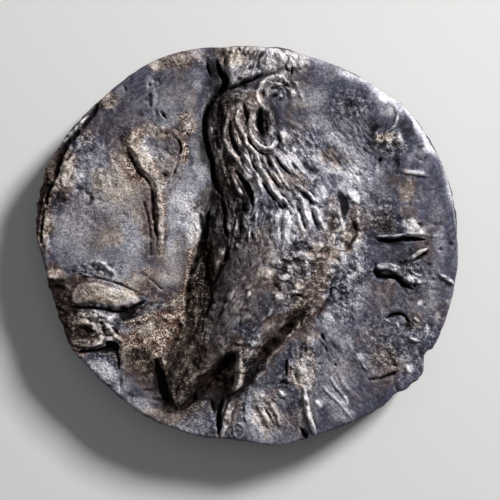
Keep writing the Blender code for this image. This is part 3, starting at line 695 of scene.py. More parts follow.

# Patches painted paler (above 0) or darker, near black at -2: partly the metal's own toning and stains,
# and partly painted highlights and painted shadows where the relief is lit or shaded
TONE_AND_LIGHT_PATCHES = {
    -2.8: [(54, 310, 15, 42)],
    -1.75: [(187, 374, 20, 37)],
    -1.7: [(224, 222, 17, 42), (261, 122, 7, 14)],
    -1.6: [(272, 118, 8, 18)],
    -1.3: [(232, 96, 16, 12), (159, 382, 8, 20), (127, 312, 10, 8)],
    -1.2: [(215, 90, 10, 50), (85, 332, 14, 7), (214, 392, 14, 9)],
    -1.1: [
        (212, 285, 12, 44), (198, 300, 8, 58), (140, 364, 14, 14), (334, 157, 11, 6), (376, 127, 11, 9),
        (261, 58, 7, 9)],
    -1.0: [(404, 254, 20, 14), (62, 300, 11, 14), (244, 206, 10, 22), (312, 181, 10, 6)],
    -0.9: [(230, 392, 10, 12), (218, 125, 8, 30), (105, 354, 14, 7), (174, 338, 8, 18)],
    -0.8: [(272, 161, 8, 8), (245, 190, 5, 14), (217, 76, 8, 14), (231, 106, 12, 10), (60, 204, 6, 14)],
    -0.75: [(382, 226, 18, 16)],
    -0.7: [
        (298, 350, 16, 7), (64, 348, 12, 16), (317, 137, 8, 5), (72, 312, 9, 9), (213, 394, 9, 14),
        (208, 352, 10, 14), (406, 276, 18, 24), (222, 128, 9, 26), (238, 178, 6, 12), (221, 222, 8, 24)],
    -0.6: [
        (204, 285, 7, 60), (408, 128, 10, 13), (392, 160, 12, 14), (50, 195, 12, 30), (312, 312, 12, 8),
        (222, 272, 10, 24), (264, 383, 12, 8), (451, 235, 6, 30), (84, 291, 9, 8), (193, 275, 8, 12),
        (78, 278, 12, 10), (66, 297, 7, 11), (248, 218, 8, 14)],
    -0.5: [
        (240, 312, 26, 40), (362, 108, 22, 13), (100, 122, 30, 18), (170, 302, 34, 8), (298, 186, 8, 8),
        (252, 119, 5, 8), (72, 335, 9, 8), (150, 373, 10, 10), (300, 352, 9, 6), (276, 382, 12, 8),
        (376, 142, 8, 10), (128, 357, 11, 9), (152, 354, 15, 8), (300, 320, 30, 12), (412, 322, 10, 8),
        (189, 322, 7, 12), (248, 364, 8, 12), (236, 176, 9, 14)],
    -0.4: [
        (395, 350, 30, 30), (330, 222, 8, 16), (70, 140, 20, 20), (155, 262, 8, 14), (336, 184, 12, 7),
        (282, 430, 14, 8), (340, 110, 18, 12), (300, 305, 24, 16), (178, 376, 10, 24)],
    -0.3: [
        (370, 296, 40, 30), (354, 240, 5, 20), (325, 276, 8, 14), (425, 165, 16, 16), (394, 226, 18, 12),
        (392, 150, 14, 12), (440, 320, 14, 20), (224, 330, 14, 30), (316, 262, 14, 12),
        (356, 114, 16, 12), (300, 262, 22, 14)],
    -0.25: [(380, 238, 22, 14)],
    -0.2: [(110, 222, 22, 12), (400, 348, 16, 12)],
    0.2: [(388, 102, 9, 9), (95, 190, 30, 14)],
    0.3: [
        (430, 285, 18, 22), (160, 100, 26, 22), (414, 172, 14, 5), (346, 345, 8, 14), (262, 275, 8, 8),
        (112, 178, 9, 6)],
    0.35: [(438, 238, 12, 28)],
    0.4: [
        (334, 380, 20, 36), (312, 340, 8, 8), (135, 405, 16, 8), (170, 426, 16, 6), (60, 176, 6, 8),
        (318, 158, 10, 8), (276, 70, 8, 12), (318, 98, 8, 10), (340, 402, 12, 8), (236, 320, 8, 8),
        (75, 250, 14, 30), (366, 158, 8, 14), (372, 186, 6, 14), (250, 155, 10, 12), (140, 247, 9, 9),
        (112, 270, 14, 7), (360, 162, 7, 14)],
    0.5: [
        (178, 215, 12, 30), (240, 64, 14, 14), (318, 112, 12, 20), (265, 88, 12, 10), (112, 180, 22, 12),
        (272, 80, 14, 16), (170, 240, 6, 22), (130, 240, 14, 16), (228, 421, 7, 10), (247, 160, 9, 9),
        (336, 366, 10, 12), (258, 394, 8, 10), (285, 197, 9, 8), (180, 244, 16, 10), (160, 182, 8, 7),
        (382, 172, 5, 10), (438, 296, 10, 14), (306, 212, 14, 12)],
    0.6: [
        (168, 268, 20, 20), (300, 95, 14, 12), (262, 147, 12, 7), (125, 375, 12, 16), (55, 225, 12, 26),
        (145, 404, 18, 8), (196, 424, 26, 10), (285, 436, 40, 10), (194, 122, 10, 10), (268, 268, 6, 14),
        (125, 299, 10, 6), (153, 328, 16, 14), (362, 357, 8, 6), (211, 172, 5, 9), (352, 304, 14, 8),
        (275, 244, 9, 9)],
    0.62: [(105, 208, 50, 54)],
    0.7: [(312, 256, 16, 18), (184, 178, 13, 16), (196, 147, 8, 9)],
    0.8: [
        (358, 186, 14, 18), (394, 139, 12, 8), (54, 276, 10, 7), (150, 156, 26, 30), (356, 262, 6, 24),
        (165, 365, 4, 6), (328, 318, 18, 22), (118, 330, 10, 16), (190, 200, 10, 9), (127, 287, 11, 8),
        (330, 141, 12, 10)],
    0.9: [(258, 418, 24, 18), (120, 272, 26, 10), (308, 410, 10, 18), (268, 184, 10, 16)],
    1.0: [(346, 168, 13, 26), (277, 57, 9, 8)],
    1.1: [(254, 166, 8, 18), (337, 248, 9, 28)],
    1.2: [(70, 174, 9, 14), (203, 165, 7, 16), (285, 146, 10, 12)],
    1.3: [(319, 195, 8, 8), (102, 318, 22, 8)],
    1.4: [(306, 214, 18, 9)],
    1.5: [(413, 227, 13, 8)],
    1.7: [(286, 60, 20, 9)]}

# Small places painted paler or darker than their patch in the same way, partly stains and wear and partly
# painted highlights and painted shadows
TONE_AND_LIGHT_SPOTS = {
    -2.0: [(127, 314, 8, 7)],
    -1.8: [(73, 312, 6, 6), (84, 331, 8, 6), (214, 407, 6, 5), (247, 195, 5, 12)],
    -1.7: [(158, 374, 6, 15)],
    -1.6: [
        (112, 347, 7, 4), (260, 119, 4, 12), (166, 397, 6, 9), (184, 405, 6, 5), (196, 393, 6, 7),
        (217, 370, 6, 6), (228, 362, 6, 7)],
    -1.5: [(285, 330, 6, 4), (273, 341, 7, 5), (243, 210, 4, 6)],
    -1.4: [
        (226, 166, 7, 12), (355, 230, 4, 8), (283, 388, 7, 4), (207, 381, 6, 7), (255, 362, 7, 9),
        (260, 362, 6, 7)],
    -1.3: [(263, 351, 6, 5), (255, 361, 5, 6)],
    -1.2: [
        (114, 331, 4, 6), (248, 375, 4, 8), (218, 104, 4, 8), (246, 113, 3, 10), (302, 268, 4, 7),
        (349, 246, 4, 6), (180, 147, 4, 9), (60, 199, 6, 8), (286, 367, 3, 9), (378, 271, 6, 5),
        (304, 436, 4, 6), (65, 197, 6, 7), (158, 368, 7, 8)],
    -1.0: [
        (232, 134, 3, 12), (208, 254, 8, 14), (276, 285, 6, 6), (295, 296, 8, 4), (298, 247, 9, 4),
        (164, 175, 5, 4), (390, 243, 14, 3), (394, 315, 8, 3), (409, 326, 4, 5), (322, 338, 3, 5),
        (266, 352, 6, 6), (240, 392, 6, 5), (214, 399, 12, 7), (157, 366, 8, 7), (198, 396, 9, 6),
        (52, 305, 7, 24)],
    -0.9: [(210, 275, 6, 12), (153, 204, 4, 12), (397, 165, 5, 9), (120, 320, 7, 6), (206, 388, 8, 8)],
    -0.8: [
        (64, 138, 8, 8), (408, 286, 8, 4), (342, 116, 6, 4), (195, 274, 6, 14), (246, 336, 5, 6),
        (258, 322, 5, 5), (382, 148, 5, 6), (340, 160, 7, 6), (189, 331, 6, 14), (216, 394, 8, 6),
        (255, 364, 10, 7), (206, 385, 8, 6)],
    -0.7: [
        (291, 260, 8, 4), (350, 104, 6, 5), (375, 128, 5, 4), (190, 300, 6, 20), (273, 304, 6, 5),
        (270, 210, 8, 6), (232, 399, 8, 7), (247, 362, 5, 5), (259, 70, 6, 8), (90, 309, 12, 4),
        (108, 311, 10, 4), (263, 134, 5, 6), (245, 366, 5, 14)],
    -0.6: [
        (131, 160, 4, 10), (146, 215, 3, 14), (276, 154, 8, 5), (283, 92, 6, 5), (311, 249, 7, 5),
        (130, 355, 14, 6), (150, 378, 9, 8), (320, 412, 6, 8), (250, 118, 4, 8), (272, 356, 8, 8),
        (222, 243, 6, 7), (241, 236, 8, 14), (296, 357, 7, 5), (86, 300, 8, 5), (407, 124, 7, 9),
        (206, 384, 7, 9), (60, 300, 5, 12)],
    -0.5: [
        (383, 354, 8, 10), (382, 226, 12, 9), (213, 270, 4, 8), (325, 145, 8, 5), (320, 245, 8, 8),
        (226, 186, 6, 10), (143, 312, 6, 7), (154, 145, 6, 7), (234, 266, 7, 11), (211, 330, 6, 12),
        (216, 352, 8, 10), (112, 357, 9, 6), (144, 312, 6, 7), (121, 325, 6, 6), (241, 418, 5, 8),
        (216, 425, 5, 8), (258, 205, 5, 9), (62, 330, 8, 16), (278, 314, 8, 6), (415, 225, 9, 7),
        (212, 390, 7, 9), (262, 58, 5, 6), (288, 315, 9, 7), (62, 320, 5, 24), (70, 345, 8, 8)],
    -0.4: [
        (85, 276, 12, 6), (375, 122, 10, 8), (140, 352, 12, 8), (222, 348, 10, 10), (222, 110, 14, 14),
        (214, 150, 7, 12), (266, 157, 8, 6), (230, 192, 7, 9), (378, 145, 8, 10), (402, 275, 10, 8),
        (186, 318, 6, 8), (302, 182, 12, 4), (204, 376, 6, 8), (216, 364, 8, 6), (192, 390, 6, 7),
        (170, 180, 8, 8), (290, 425, 8, 8), (76, 285, 6, 8), (215, 70, 8, 7), (230, 158, 9, 7),
        (186, 196, 5, 8), (80, 302, 10, 7), (84, 320, 8, 6), (222, 424, 8, 8), (262, 370, 6, 6),
        (386, 136, 8, 6), (332, 194, 8, 6), (118, 364, 10, 8), (240, 342, 10, 8), (145, 318, 6, 8),
        (255, 222, 5, 14), (80, 345, 8, 6), (302, 300, 9, 8), (210, 392, 8, 8), (312, 400, 4, 10),
        (214, 436, 10, 6)],
    -0.3: [
        (118, 268, 7, 6), (242, 252, 8, 10), (352, 128, 8, 10), (372, 142, 8, 12), (287, 92, 8, 6),
        (172, 135, 8, 8), (404, 272, 10, 12), (262, 90, 8, 5), (183, 150, 7, 8), (130, 164, 6, 7),
        (78, 190, 7, 9), (298, 358, 7, 6), (350, 400, 8, 7), (412, 325, 8, 10), (360, 118, 8, 10),
        (320, 118, 8, 6), (115, 271, 10, 6), (245, 290, 8, 8), (222, 282, 8, 10), (276, 362, 8, 10),
        (296, 400, 6, 6), (319, 276, 7, 12), (330, 300, 10, 10), (98, 302, 9, 6), (158, 338, 8, 8),
        (240, 165, 8, 6), (135, 168, 7, 8), (262, 372, 6, 7), (255, 80, 6, 8), (240, 236, 5, 10),
        (322, 208, 4, 6), (440, 290, 6, 10)],
    -0.2: [(386, 172, 7, 16), (390, 228, 14, 12), (372, 268, 16, 8), (106, 180, 8, 8), (350, 395, 10, 8)],
    0.12: [(430, 195, 12, 26)],
    0.2: [(306, 118, 14, 22), (434, 312, 8, 12), (436, 205, 8, 16), (418, 212, 12, 7)],
    0.25: [(330, 64, 14, 5), (110, 205, 18, 6)],
    0.3: [
        (247, 350, 7, 9), (184, 152, 4, 12), (134, 219, 14, 8), (358, 292, 12, 8), (428, 310, 8, 14),
        (413, 287, 8, 8), (198, 80, 10, 12), (98, 158, 8, 8), (130, 118, 12, 8), (345, 150, 12, 8),
        (350, 380, 10, 9), (357, 172, 7, 12), (300, 150, 10, 10), (230, 130, 8, 6), (125, 120, 8, 8),
        (162, 240, 8, 14), (367, 288, 10, 6), (348, 308, 12, 7), (426, 280, 9, 7), (420, 340, 10, 10),
        (322, 366, 6, 12), (378, 372, 9, 9), (312, 412, 6, 8), (234, 228, 5, 12), (385, 118, 10, 8),
        (383, 166, 5, 8), (172, 205, 4, 8), (192, 190, 6, 8), (300, 378, 8, 8), (395, 306, 8, 6),
        (360, 308, 10, 7), (130, 345, 6, 8), (195, 216, 8, 6), (300, 376, 7, 7), (330, 395, 8, 12)],
    0.35: [
        (320, 124, 14, 9), (166, 110, 8, 14), (376, 372, 12, 16), (128, 194, 12, 8), (446, 250, 6, 16)],
    0.4: [
        (268, 327, 9, 6), (303, 72, 7, 4), (415, 197, 12, 8), (382, 175, 6, 10), (357, 240, 6, 12),
        (362, 300, 12, 12), (442, 240, 7, 12), (351, 335, 5, 8), (330, 75, 18, 7), (78, 172, 10, 6),
        (138, 283, 8, 8), (108, 333, 9, 7), (238, 322, 12, 6), (259, 418, 8, 6), (312, 340, 8, 10),
        (353, 237, 8, 8), (98, 266, 8, 6), (170, 279, 8, 7), (383, 190, 8, 9), (352, 71, 12, 6),
        (408, 160, 5, 8), (406, 192, 8, 12), (56, 190, 5, 10), (270, 238, 7, 8), (275, 178, 10, 6),
        (335, 136, 6, 6), (198, 88, 6, 8), (175, 121, 6, 7), (150, 178, 8, 8), (176, 200, 5, 10),
        (200, 242, 8, 10), (345, 236, 6, 8), (57, 270, 6, 10), (96, 260, 6, 8), (134, 258, 10, 6),
        (115, 281, 7, 6), (130, 308, 8, 5), (100, 323, 7, 6), (176, 342, 6, 12), (90, 356, 6, 6),
        (152, 413, 10, 5), (263, 272, 6, 9), (396, 312, 8, 6), (298, 376, 6, 8), (305, 400, 5, 9),
        (127, 306, 10, 6), (176, 331, 6, 9), (190, 102, 6, 9), (318, 156, 12, 6), (216, 266, 4, 10),
        (286, 234, 5, 7), (163, 190, 6, 7), (118, 291, 16, 5)],
    0.5: [
        (186, 204, 8, 10), (178, 222, 8, 9), (134, 140, 6, 14), (153, 176, 8, 7), (200, 184, 5, 10),
        (237, 297, 6, 5), (235, 319, 8, 7), (221, 253, 4, 9), (349, 234, 7, 8), (394, 110, 7, 6),
        (236, 60, 8, 8), (300, 374, 7, 6), (316, 366, 5, 8), (304, 407, 4, 6), (112, 337, 6, 5),
        (152, 322, 10, 5), (235, 68, 7, 10), (213, 174, 5, 8), (160, 228, 6, 14), (310, 222, 8, 8),
        (58, 265, 8, 9), (55, 195, 5, 12), (135, 333, 6, 6), (173, 337, 6, 12), (235, 381, 6, 5),
        (301, 377, 9, 7), (416, 157, 6, 6), (283, 225, 8, 16), (344, 414, 12, 6), (328, 270, 6, 9),
        (125, 305, 8, 4), (430, 143, 6, 9), (421, 150, 7, 6), (120, 92, 6, 5), (52, 279, 6, 6),
        (334, 214, 5, 8), (360, 248, 6, 8), (302, 208, 9, 8), (286, 232, 6, 12), (396, 145, 6, 7),
        (414, 236, 10, 5), (226, 72, 6, 7), (219, 227, 3, 9), (330, 210, 5, 9), (132, 302, 8, 5),
        (258, 104, 5, 4)],
    0.6: [
        (257, 215, 3, 6), (270, 412, 7, 6), (143, 160, 7, 9), (250, 160, 5, 9), (167, 182, 6, 6),
        (160, 188, 6, 6), (271, 256, 6, 8), (249, 295, 6, 4), (262, 276, 7, 6), (427, 163, 7, 9),
        (122, 388, 7, 6), (236, 384, 6, 5), (260, 102, 6, 5), (334, 172, 9, 5), (303, 405, 4, 8),
        (366, 80, 8, 6), (405, 112, 7, 7), (150, 84, 4, 8), (236, 368, 5, 9), (236, 228, 3, 8),
        (217, 256, 3, 9), (251, 223, 4, 10), (284, 201, 5, 5), (204, 224, 6, 10)],
    0.7: [
        (56, 275, 8, 5), (222, 248, 4, 6), (303, 212, 7, 10), (360, 243, 5, 10), (112, 336, 5, 7),
        (128, 300, 8, 4), (300, 210, 10, 12), (418, 127, 7, 9), (232, 381, 7, 7), (230, 371, 6, 9),
        (247, 210, 3, 6)],
    0.8: [
        (120, 294, 16, 7), (146, 328, 12, 12), (147, 152, 8, 12), (292, 269, 5, 5), (328, 315, 5, 11),
        (398, 325, 4, 4), (262, 90, 5, 8), (292, 90, 5, 5), (226, 412, 4, 12), (258, 392, 6, 6),
        (66, 172, 6, 9), (299, 222, 8, 12), (254, 187, 5, 8), (197, 244, 6, 12), (307, 396, 5, 14),
        (316, 161, 8, 6), (256, 190, 4, 7), (387, 106, 10, 9), (258, 184, 4, 8), (66, 176, 5, 9),
        (176, 60, 10, 5), (155, 98, 3, 9), (204, 220, 5, 10), (228, 224, 3, 9), (280, 68, 6, 9)],
    0.9: [
        (161, 212, 3, 18), (253, 143, 4, 8), (300, 168, 6, 7), (305, 256, 10, 4), (300, 285, 6, 4),
        (331, 284, 4, 4), (410, 339, 5, 3), (420, 254, 5, 3), (414, 172, 10, 3), (394, 139, 8, 6),
        (276, 78, 8, 4), (301, 203, 6, 4), (314, 216, 5, 8), (200, 222, 6, 12), (328, 168, 10, 6),
        (328, 269, 6, 7), (377, 94, 10, 9), (196, 54, 10, 5)],
    1.0: [
        (113, 322, 6, 5), (279, 196, 6, 5), (307, 222, 4, 8), (401, 361, 5, 4), (438, 317, 3, 4),
        (449, 303, 3, 3), (420, 236, 8, 3), (412, 278, 6, 4)],
    1.2: [
        (194, 238, 6, 8), (96, 319, 9, 5), (268, 150, 6, 3), (291, 157, 7, 8), (252, 158, 5, 8),
        (259, 184, 3, 9), (315, 245, 7, 4), (352, 278, 3, 4), (344, 400, 4, 5), (420, 301, 3, 3),
        (361, 356, 3, 5), (389, 267, 10, 3), (280, 58, 9, 7), (215, 179, 3, 6), (107, 100, 5, 7)],
    1.3: [
        (193, 224, 7, 12), (241, 194, 3, 5), (333, 240, 3, 5), (281, 394, 4, 4), (415, 319, 4, 3),
        (426, 328, 3, 4), (156, 65, 5, 6)],
    1.4: [(64, 166, 6, 9), (188, 127, 3, 3), (237, 247, 4, 4), (204, 227, 5, 12)],
    1.5: [(282, 137, 5, 5), (323, 228, 4, 5), (357, 270, 4, 5), (243, 383, 5, 4), (411, 224, 9, 5)],
    1.6: [(285, 277, 5, 3), (279, 296, 4, 3)],
    1.7: [(341, 258, 5, 9)],
    1.8: [(319, 404, 4, 4), (410, 369, 5, 5)]}

# Colours of the finish
SLATE = (0.052, 0.055, 0.082, 1.0)
STEEL = (0.087, 0.082, 0.128, 1.0)
BARK = (0.068, 0.047, 0.046, 1.0)
TAUPE = (0.148, 0.105, 0.106, 1.0)
FROST = (0.58, 0.57, 0.63, 1.0)
CREAM = (0.72, 0.60, 0.52, 1.0)
SAND = (1.0, 0.85, 0.72, 1.0)
PEARL = (0.80, 0.77, 0.80, 1.0)
IVORY = (0.84, 0.74, 0.67, 1.0)
SHADE_AND_SOOT_BLACK = (0.005, 0.004, 0.005, 1.0)
EARTH_AND_SHADE_BROWN = (0.012, 0.006, 0.005, 1.0)
UMBER = (0.042, 0.025, 0.022, 1.0)
RUST = (0.150, 0.064, 0.036, 1.0)
INK = (0.025, 0.024, 0.035, 1.0)

# Masks of grains: noise scale, the two levels that the mask is eased between, detail
GRAINS = {
    "fine": (13000.0, 0.40, 0.60, 1.0),
    "medium": (6000.0, 0.40, 0.60, 3.0),
    "sharp": (15000.0, 0.47, 0.54, 1.0),
    "blotches": (3200.0, 0.40, 0.60, 4.0),
    "patchy": (1500.0, 0.30, 0.70, 4.0),
    "broad": (800.0, 0.33, 0.67, 5.0)}
STREAKS = (1.0, 0.46, 0.62, 3.0)
FURROWS = (1.0, 0.46, 0.34, 3.0)
VEINS = (1300.0, 0.46, 0.54, 5.0)
CRACKS = (1700.0, 0.47, 0.53, 4.0)
PITS = (8000.0, 0.52, 0.40, 2.0)
SPECKS = (15000.0, 0.49, 0.41, 1.0)
VEIN_GAIN = 4.0

# Where an effect comes in: the levels of tone, hollow, crease or crust that it is eased between, and for
# some the shares that it starts and ends with
PALE_TONE = (0.0, 1.2)
DEEP_TONE = (0.0, -1.0)
SOOT_AND_SHADE_TONE = (-1.0, -2.0)
BARE_AND_HIGHLIGHT_TONE = (0.9, 1.5)
WORN_TONE = (-1.6, -0.3, 0.3, 1.0)
CRUST_TONE = (-1.6, -0.3, 0.35, 1.0)
CRUST_AREA = (0.1, 0.9)
WORN_HEIGHT = (0.6, 2.4)
HOLLOW_SHADE_AND_DEPOSIT = (-0.3, -1.8)
SOOT_AND_SHADE_HOLLOW = (-1.1, -3.7)
SOOT_AND_SHADE_CREASE = (-0.6, -2.3)

# How strong an effect is: its shares where the grain or roughness it depends on is 0 and where it is 1
PALE_BY_FINE = (0.45, 0.95)
FLECKS_AND_GLINTS_BY_ROUGH = (0.10, 0.9)
VEINS_BY_ROUGH = (0.2, 1.0)
VEINS_BY_MEDIUM = (0.0, 0.4)
CRACKS_BY_MEDIUM = (0.5, 0.0)
PITS_BY_ROUGH = (0.1, 0.7)
PITS_BY_PATCHY = (0.3, 1.0)
SAND_BY_SHARP = (0.1, 1.0)
SAND_BY_BLOTCHES = (0.08, 1.0)
SPECKS_BY_BLOTCHES = (1.0, 0.4)
CRUST_BY_MEDIUM = (0.65, 1.0)
WORN_BY_MEDIUM = (0.3, 0.95)
BARE_AND_HIGHLIGHT_BY_FINE = (0.4, 1.0)
SOOT_AND_SHADE_BY_FLECKS = (1.0, 0.5)
RELIEF_BY_ROUGH = (0.2, 1.5)
METALLIC_BY_DULL = (0.35, 0.1)
ROUGHNESS_BY_DULL = (0.6, 0.8)
DEEP_SHARE = 0.8
STREAK_SHARE = 0.7
FURROW_SHARE = 0.5
HOLLOW_SHARE = 0.75
FINE_RELIEF = 0.7
MEDIUM_RELIEF = 0.4
CRUST_RELIEF = 2.2
BUMP_HEIGHT = 0.000014
SHEEN = 0.15

# Sockets of the mix node by kind: under, over and result
MIX_SOCKETS = {"RGBA": (6, 7, 2), "FLOAT": (2, 3, 0)}

# The studio, in metres and watts
FLOOR_REACH = 0.5
FLOOR_COLOUR = (0.80, 0.795, 0.78, 1.0)
FLOOR_ROUGHNESS = 0.9
KEY_PLACE = (0.088, 0.084, 0.085)
KEY_SIDE = 0.032
KEY_WATTS = 0.277
SOFT_PLACE = (-0.02, 0.03, 0.2)
SOFT_SIDE = 0.2
SOFT_WATTS = 0.041
SKY_COLOUR = (0.8, 0.85, 0.9, 1.0)
SKY_STRENGTH = 0.08

# The camera: its lens in millimetres, and where its view starts, in metres
LENS = 100.0
VIEW_START = 0.001


def smooth(share):
    """An eased step from 0 to 1."""
    share = np.clip(share, 0.0, 1.0)
    return share * share * (3.0 - 2.0 * share)


def curve(points, closed=False):
    """A smooth curve through a few points, as a fine row of points."""
    points = np.array(points, float)
    if closed:
        padded = np.vstack([points[-1], points, points[0], points[1]])
    else:
        padded = np.vstack([2 * points[0] - points[1], points, 2 * points[-1] - points[-2]])
    share = (np.arange(CURVE_STEPS) / CURVE_STEPS)[:, None]
    spans = []
    for before, start, end, after in zip(padded, padded[1:], padded[2:], padded[3:]):
        bend = 2 * before - 5 * start + 4 * end - after
        twist = 3 * start - before - 3 * end + after
        spans.append(start + 0.5 * ((end - before) * share + bend * share ** 2 + twist * share ** 3))
    spans.append(padded[-2:-1])
    return np.vstack(spans)


def measure(x, y, path):
    """How far each place lies from a path, and how far along the path it is from 0 to 1."""
    lengths = np.hypot(*np.diff(path, axis=0).T)
    nearest = np.full(x.shape, np.inf)
    along = np.zeros(x.shape)
    for start, end, run, length in zip(path, path[1:], np.cumsum(lengths) - lengths, lengths):
        step = end - start
        share = ((x - start[0]) * step[0] + (y - start[1]) * step[1]) / max(length ** 2, TINY)
        share = np.clip(share, 0.0, 1.0)
        gap = np.hypot(x - start[0] - share * step[0], y - start[1] - share * step[1])
        closer = gap < nearest
        nearest[closer] = gap[closer]
        along[closer] = (run + share[closer] * length) / lengths.sum()
    return nearest, along


def within(x, y, path):
    """Which places lie inside a closed path."""
    inside = np.zeros(x.shape, bool)
    for start, end in zip(path, path[1:]):
        if start[1] != end[1]:
            crosses = (start[1] > y) != (end[1] > y)
            reach = start[0] + (end[0] - start[0]) * (y - start[1]) / (end[1] - start[1])
            inside ^= crosses & (x < reach)
    return inside


def near(x, y, path, reach):
    """The numbers of the places whose square of ground a path can reach."""
    low, high = path.min(axis=0) - reach, path.max(axis=0) + reach
    return np.nonzero((x > low[0]) & (x < high[0]) & (y > low[1]) & (y < high[1]))[0]


def noise(x, y, size, seed):
    """Soft random bumps from -1 to 1 whose grains are size units across."""
    table = np.random.default_rng(seed).uniform(-1.0, 1.0, (NOISE_CELLS, NOISE_CELLS))
    column, row = np.floor(x / size).astype(int), np.floor(y / size).astype(int)
    across, down = smooth(x / size - column), smooth(y / size - row)
    levels = []
    for step in (0, 1):
        left = table[(row + step) % NOISE_CELLS, column % NOISE_CELLS]
        right = table[(row + step) % NOISE_CELLS, (column + 1) % NOISE_CELLS]
        levels.append(left + (right - left) * across)
    upper, lower = levels
    return upper + (lower - upper) * down


def waves(x, y, kind, number=0):
    """Soft random bumps of a kind. The number gives each of several patches its own draw."""
    height, size, seed = kind
    return height * noise(x, y, size, seed + number)


def grain(x, y, kind, layers=GRAIN_LAYERS, fade=GRAIN_FADE):
    """Several noises of halving size on each other, of a kind."""
    height, size, seed = kind
    weights = fade ** np.arange(layers)
    total = np.zeros(x.shape)
    for layer, weight in enumerate(weights):
        total += weight * noise(x, y, size / 2 ** layer, seed + layer)
    return height * (total / weights.sum())


def crinkle(x, y, kind):
    """Rounded bumps between sharp creases, from -1 to 1."""
    return CRINKLE_GAIN * np.abs(grain(x, y, kind, FEW_LAYERS)) - 1.0


def wandering(x, y, reach, size, seed_x, seed_y):
    """Places moved by random amounts, which makes the edges of what is drawn there uneven."""
    return x + grain(x, y, (reach, size, seed_x)), y + grain(x, y, (reach, size, seed_y))


def turned(x, y, turn):
    """How far along a direction each place lies, and how far across it."""
    return x * math.cos(turn) + y * math.sin(turn), y * math.cos(turn) - x * math.sin(turn)


def patch(x, y, middle_x, middle_y, reach_x, reach_y):
    """1 in the middle of an oval patch, fading to 0 past its edge."""
    off = np.hypot((x - middle_x) / reach_x, (y - middle_y) / reach_y)
    return smooth(PATCH_END - off)


def strongest(x, y, patches):
    """The highest of several soft patches at each place."""
    share = np.zeros(x.shape)
    for amount, ovals in patches.items():
        for oval in ovals:
            share = np.maximum(share, amount * patch(x, y, *oval))
    return share


def drift(x, y, patches, reach):
    """The sum of several soft patches whose edges wander by a few units."""
    x, y = wandering(x, y, reach, DRIFT_SIZE, *DRIFT_SEEDS)
    total = np.zeros(x.shape)
    for amount, ovals in patches.items():
        for oval in ovals:
            total += amount * patch(x, y, *oval)
    return total


def plateau(x, y, points, edge):
    """A raised area from 0 at its outline to 1 within, rounded over the given edge."""
    path = curve(points, closed=True)
    pick = near(x, y, path, 0.0)
    gap, _ = measure(x[pick], y[pick], path)
    height = np.zeros(x.shape)
    reach = np.broadcast_to(edge, x.shape)[pick]
    rounded = np.sin(0.5 * np.pi * np.clip(gap / reach, 0.0, 1.0))
    height[pick] = np.where(within(x[pick], y[pick], path), rounded, 0.0)
    return height


def strokes(x, y, rows, fullness):
    """The highest of several strokes, uneven along their run and tapered at both ends."""
    height = np.zeros(x.shape)
    for width, rise, points in rows:
        path = curve(points)
        pick = near(x, y, path, width)
        near_x, near_y = x[pick], y[pick]
        gap, along = measure(near_x, near_y, path)
        from_end = np.minimum(along, 1.0 - along) * np.hypot(*np.diff(path, axis=0).T).sum()
        taper = np.clip(STROKE_TIP + STROKE_TAPER * from_end / width, 0.0, 1.0) ** TAPER_BEND
        half = 0.5 * width * taper * (1.0 + grain(near_x, near_y, STROKE_EDGES, FEW_LAYERS))
        uneven = 1.0 + waves(near_x, near_y, STROKE_SWELLS) + waves(near_x, near_y, STROKE_NICKS)
        section = smooth(fullness * (1.0 - gap / half))
        height[pick] = np.maximum(height[pick], rise * taper * uneven * section)
    return height


def uprights(x, y):
    """The row of plain upright strokes in the right field."""
    rows = []
    for number in range(UPRIGHTS):
        points = [(end_x + UPRIGHT_STEP * number, end_y) for end_x, end_y in UPRIGHT_ENDS]
        rows.append((UPRIGHT_WIDTH, UPRIGHT_RISE, points))
    return strokes(x, y, rows, RIDGE_FULLNESS)


def pellets(x, y):
    """The breast feathers, worn domes of uneven height that crowd each other."""
    height = np.zeros(x.shape)
    for pellet_x, pellet_y, reach_x, reach_y in PELLETS:
        gap = np.hypot((x - pellet_x) / reach_x, (y - pellet_y) / reach_y)
        rise = PELLET_RISE * min(reach_x, reach_y)
        height = np.maximum(height, rise * smooth(PELLET_FULLNESS * (PELLET_END - gap)))
    return height


def lumps(x, y, seed):
    """Pillows at irregular places about one unit apart, from 0 in the creases to 1 on top."""
    offsets = np.random.default_rng(seed).uniform(*LUMP_OFFSETS, (2, NOISE_CELLS, NOISE_CELLS))
    column, row = np.floor(x).astype(int), np.floor(y).astype(int)
    nearest = np.full(x.shape, np.inf)
    second = np.full(x.shape, np.inf)
    for step_x in (-1, 0, 1):
        for step_y in (-1, 0, 1):
            across, down = column + step_x, row + step_y
            shift_x, shift_y = offsets[:, down % NOISE_CELLS, across % NOISE_CELLS]
            gap = np.hypot(x - across - shift_x, y - down - shift_y)
            second = np.minimum(second, np.maximum(gap, nearest))
            nearest = np.minimum(nearest, gap)
    return np.sin(0.5 * np.pi * np.clip(LUMP_FULLNESS * (second - nearest), 0.0, 1.0))


def scales(x, y):
    """Feathers, strands and crusty lumps, laid along their own direction in each patch."""
    height = np.zeros(x.shape)
    for number, (*oval, turn, length, width, rise) in enumerate(SCALES):
        share = patch(x, y, *oval)
        pick = np.nonzero(share)[0]
        near_x, near_y = x[pick], y[pick]
        along, across = turned(near_x, near_y, math.radians(turn))
        along, across = along / length, across / width + waves(near_x, near_y, SCALE_BEND, number)
        bumps = SCALE_RISE * lumps(along, across, LUMP_SEED + number) - SCALE_SINK
        bumps += waves(along, across, SCALE_WAVES, number)
        uneven = SCALE_LEAST + waves(near_x, near_y, SCALE_UNEVEN, number)
        height[pick] += rise * share[pick] * uneven * bumps
    return height


def roughness(x, y):
    """How rough the face is: 0 where worn smooth, little on the plain field and ROUGH_MOST on crust."""
    return np.maximum(ROUGH_LEAST, strongest(x, y, ROUGH)) * (1.0 - strongest(x, y, SMOOTH))


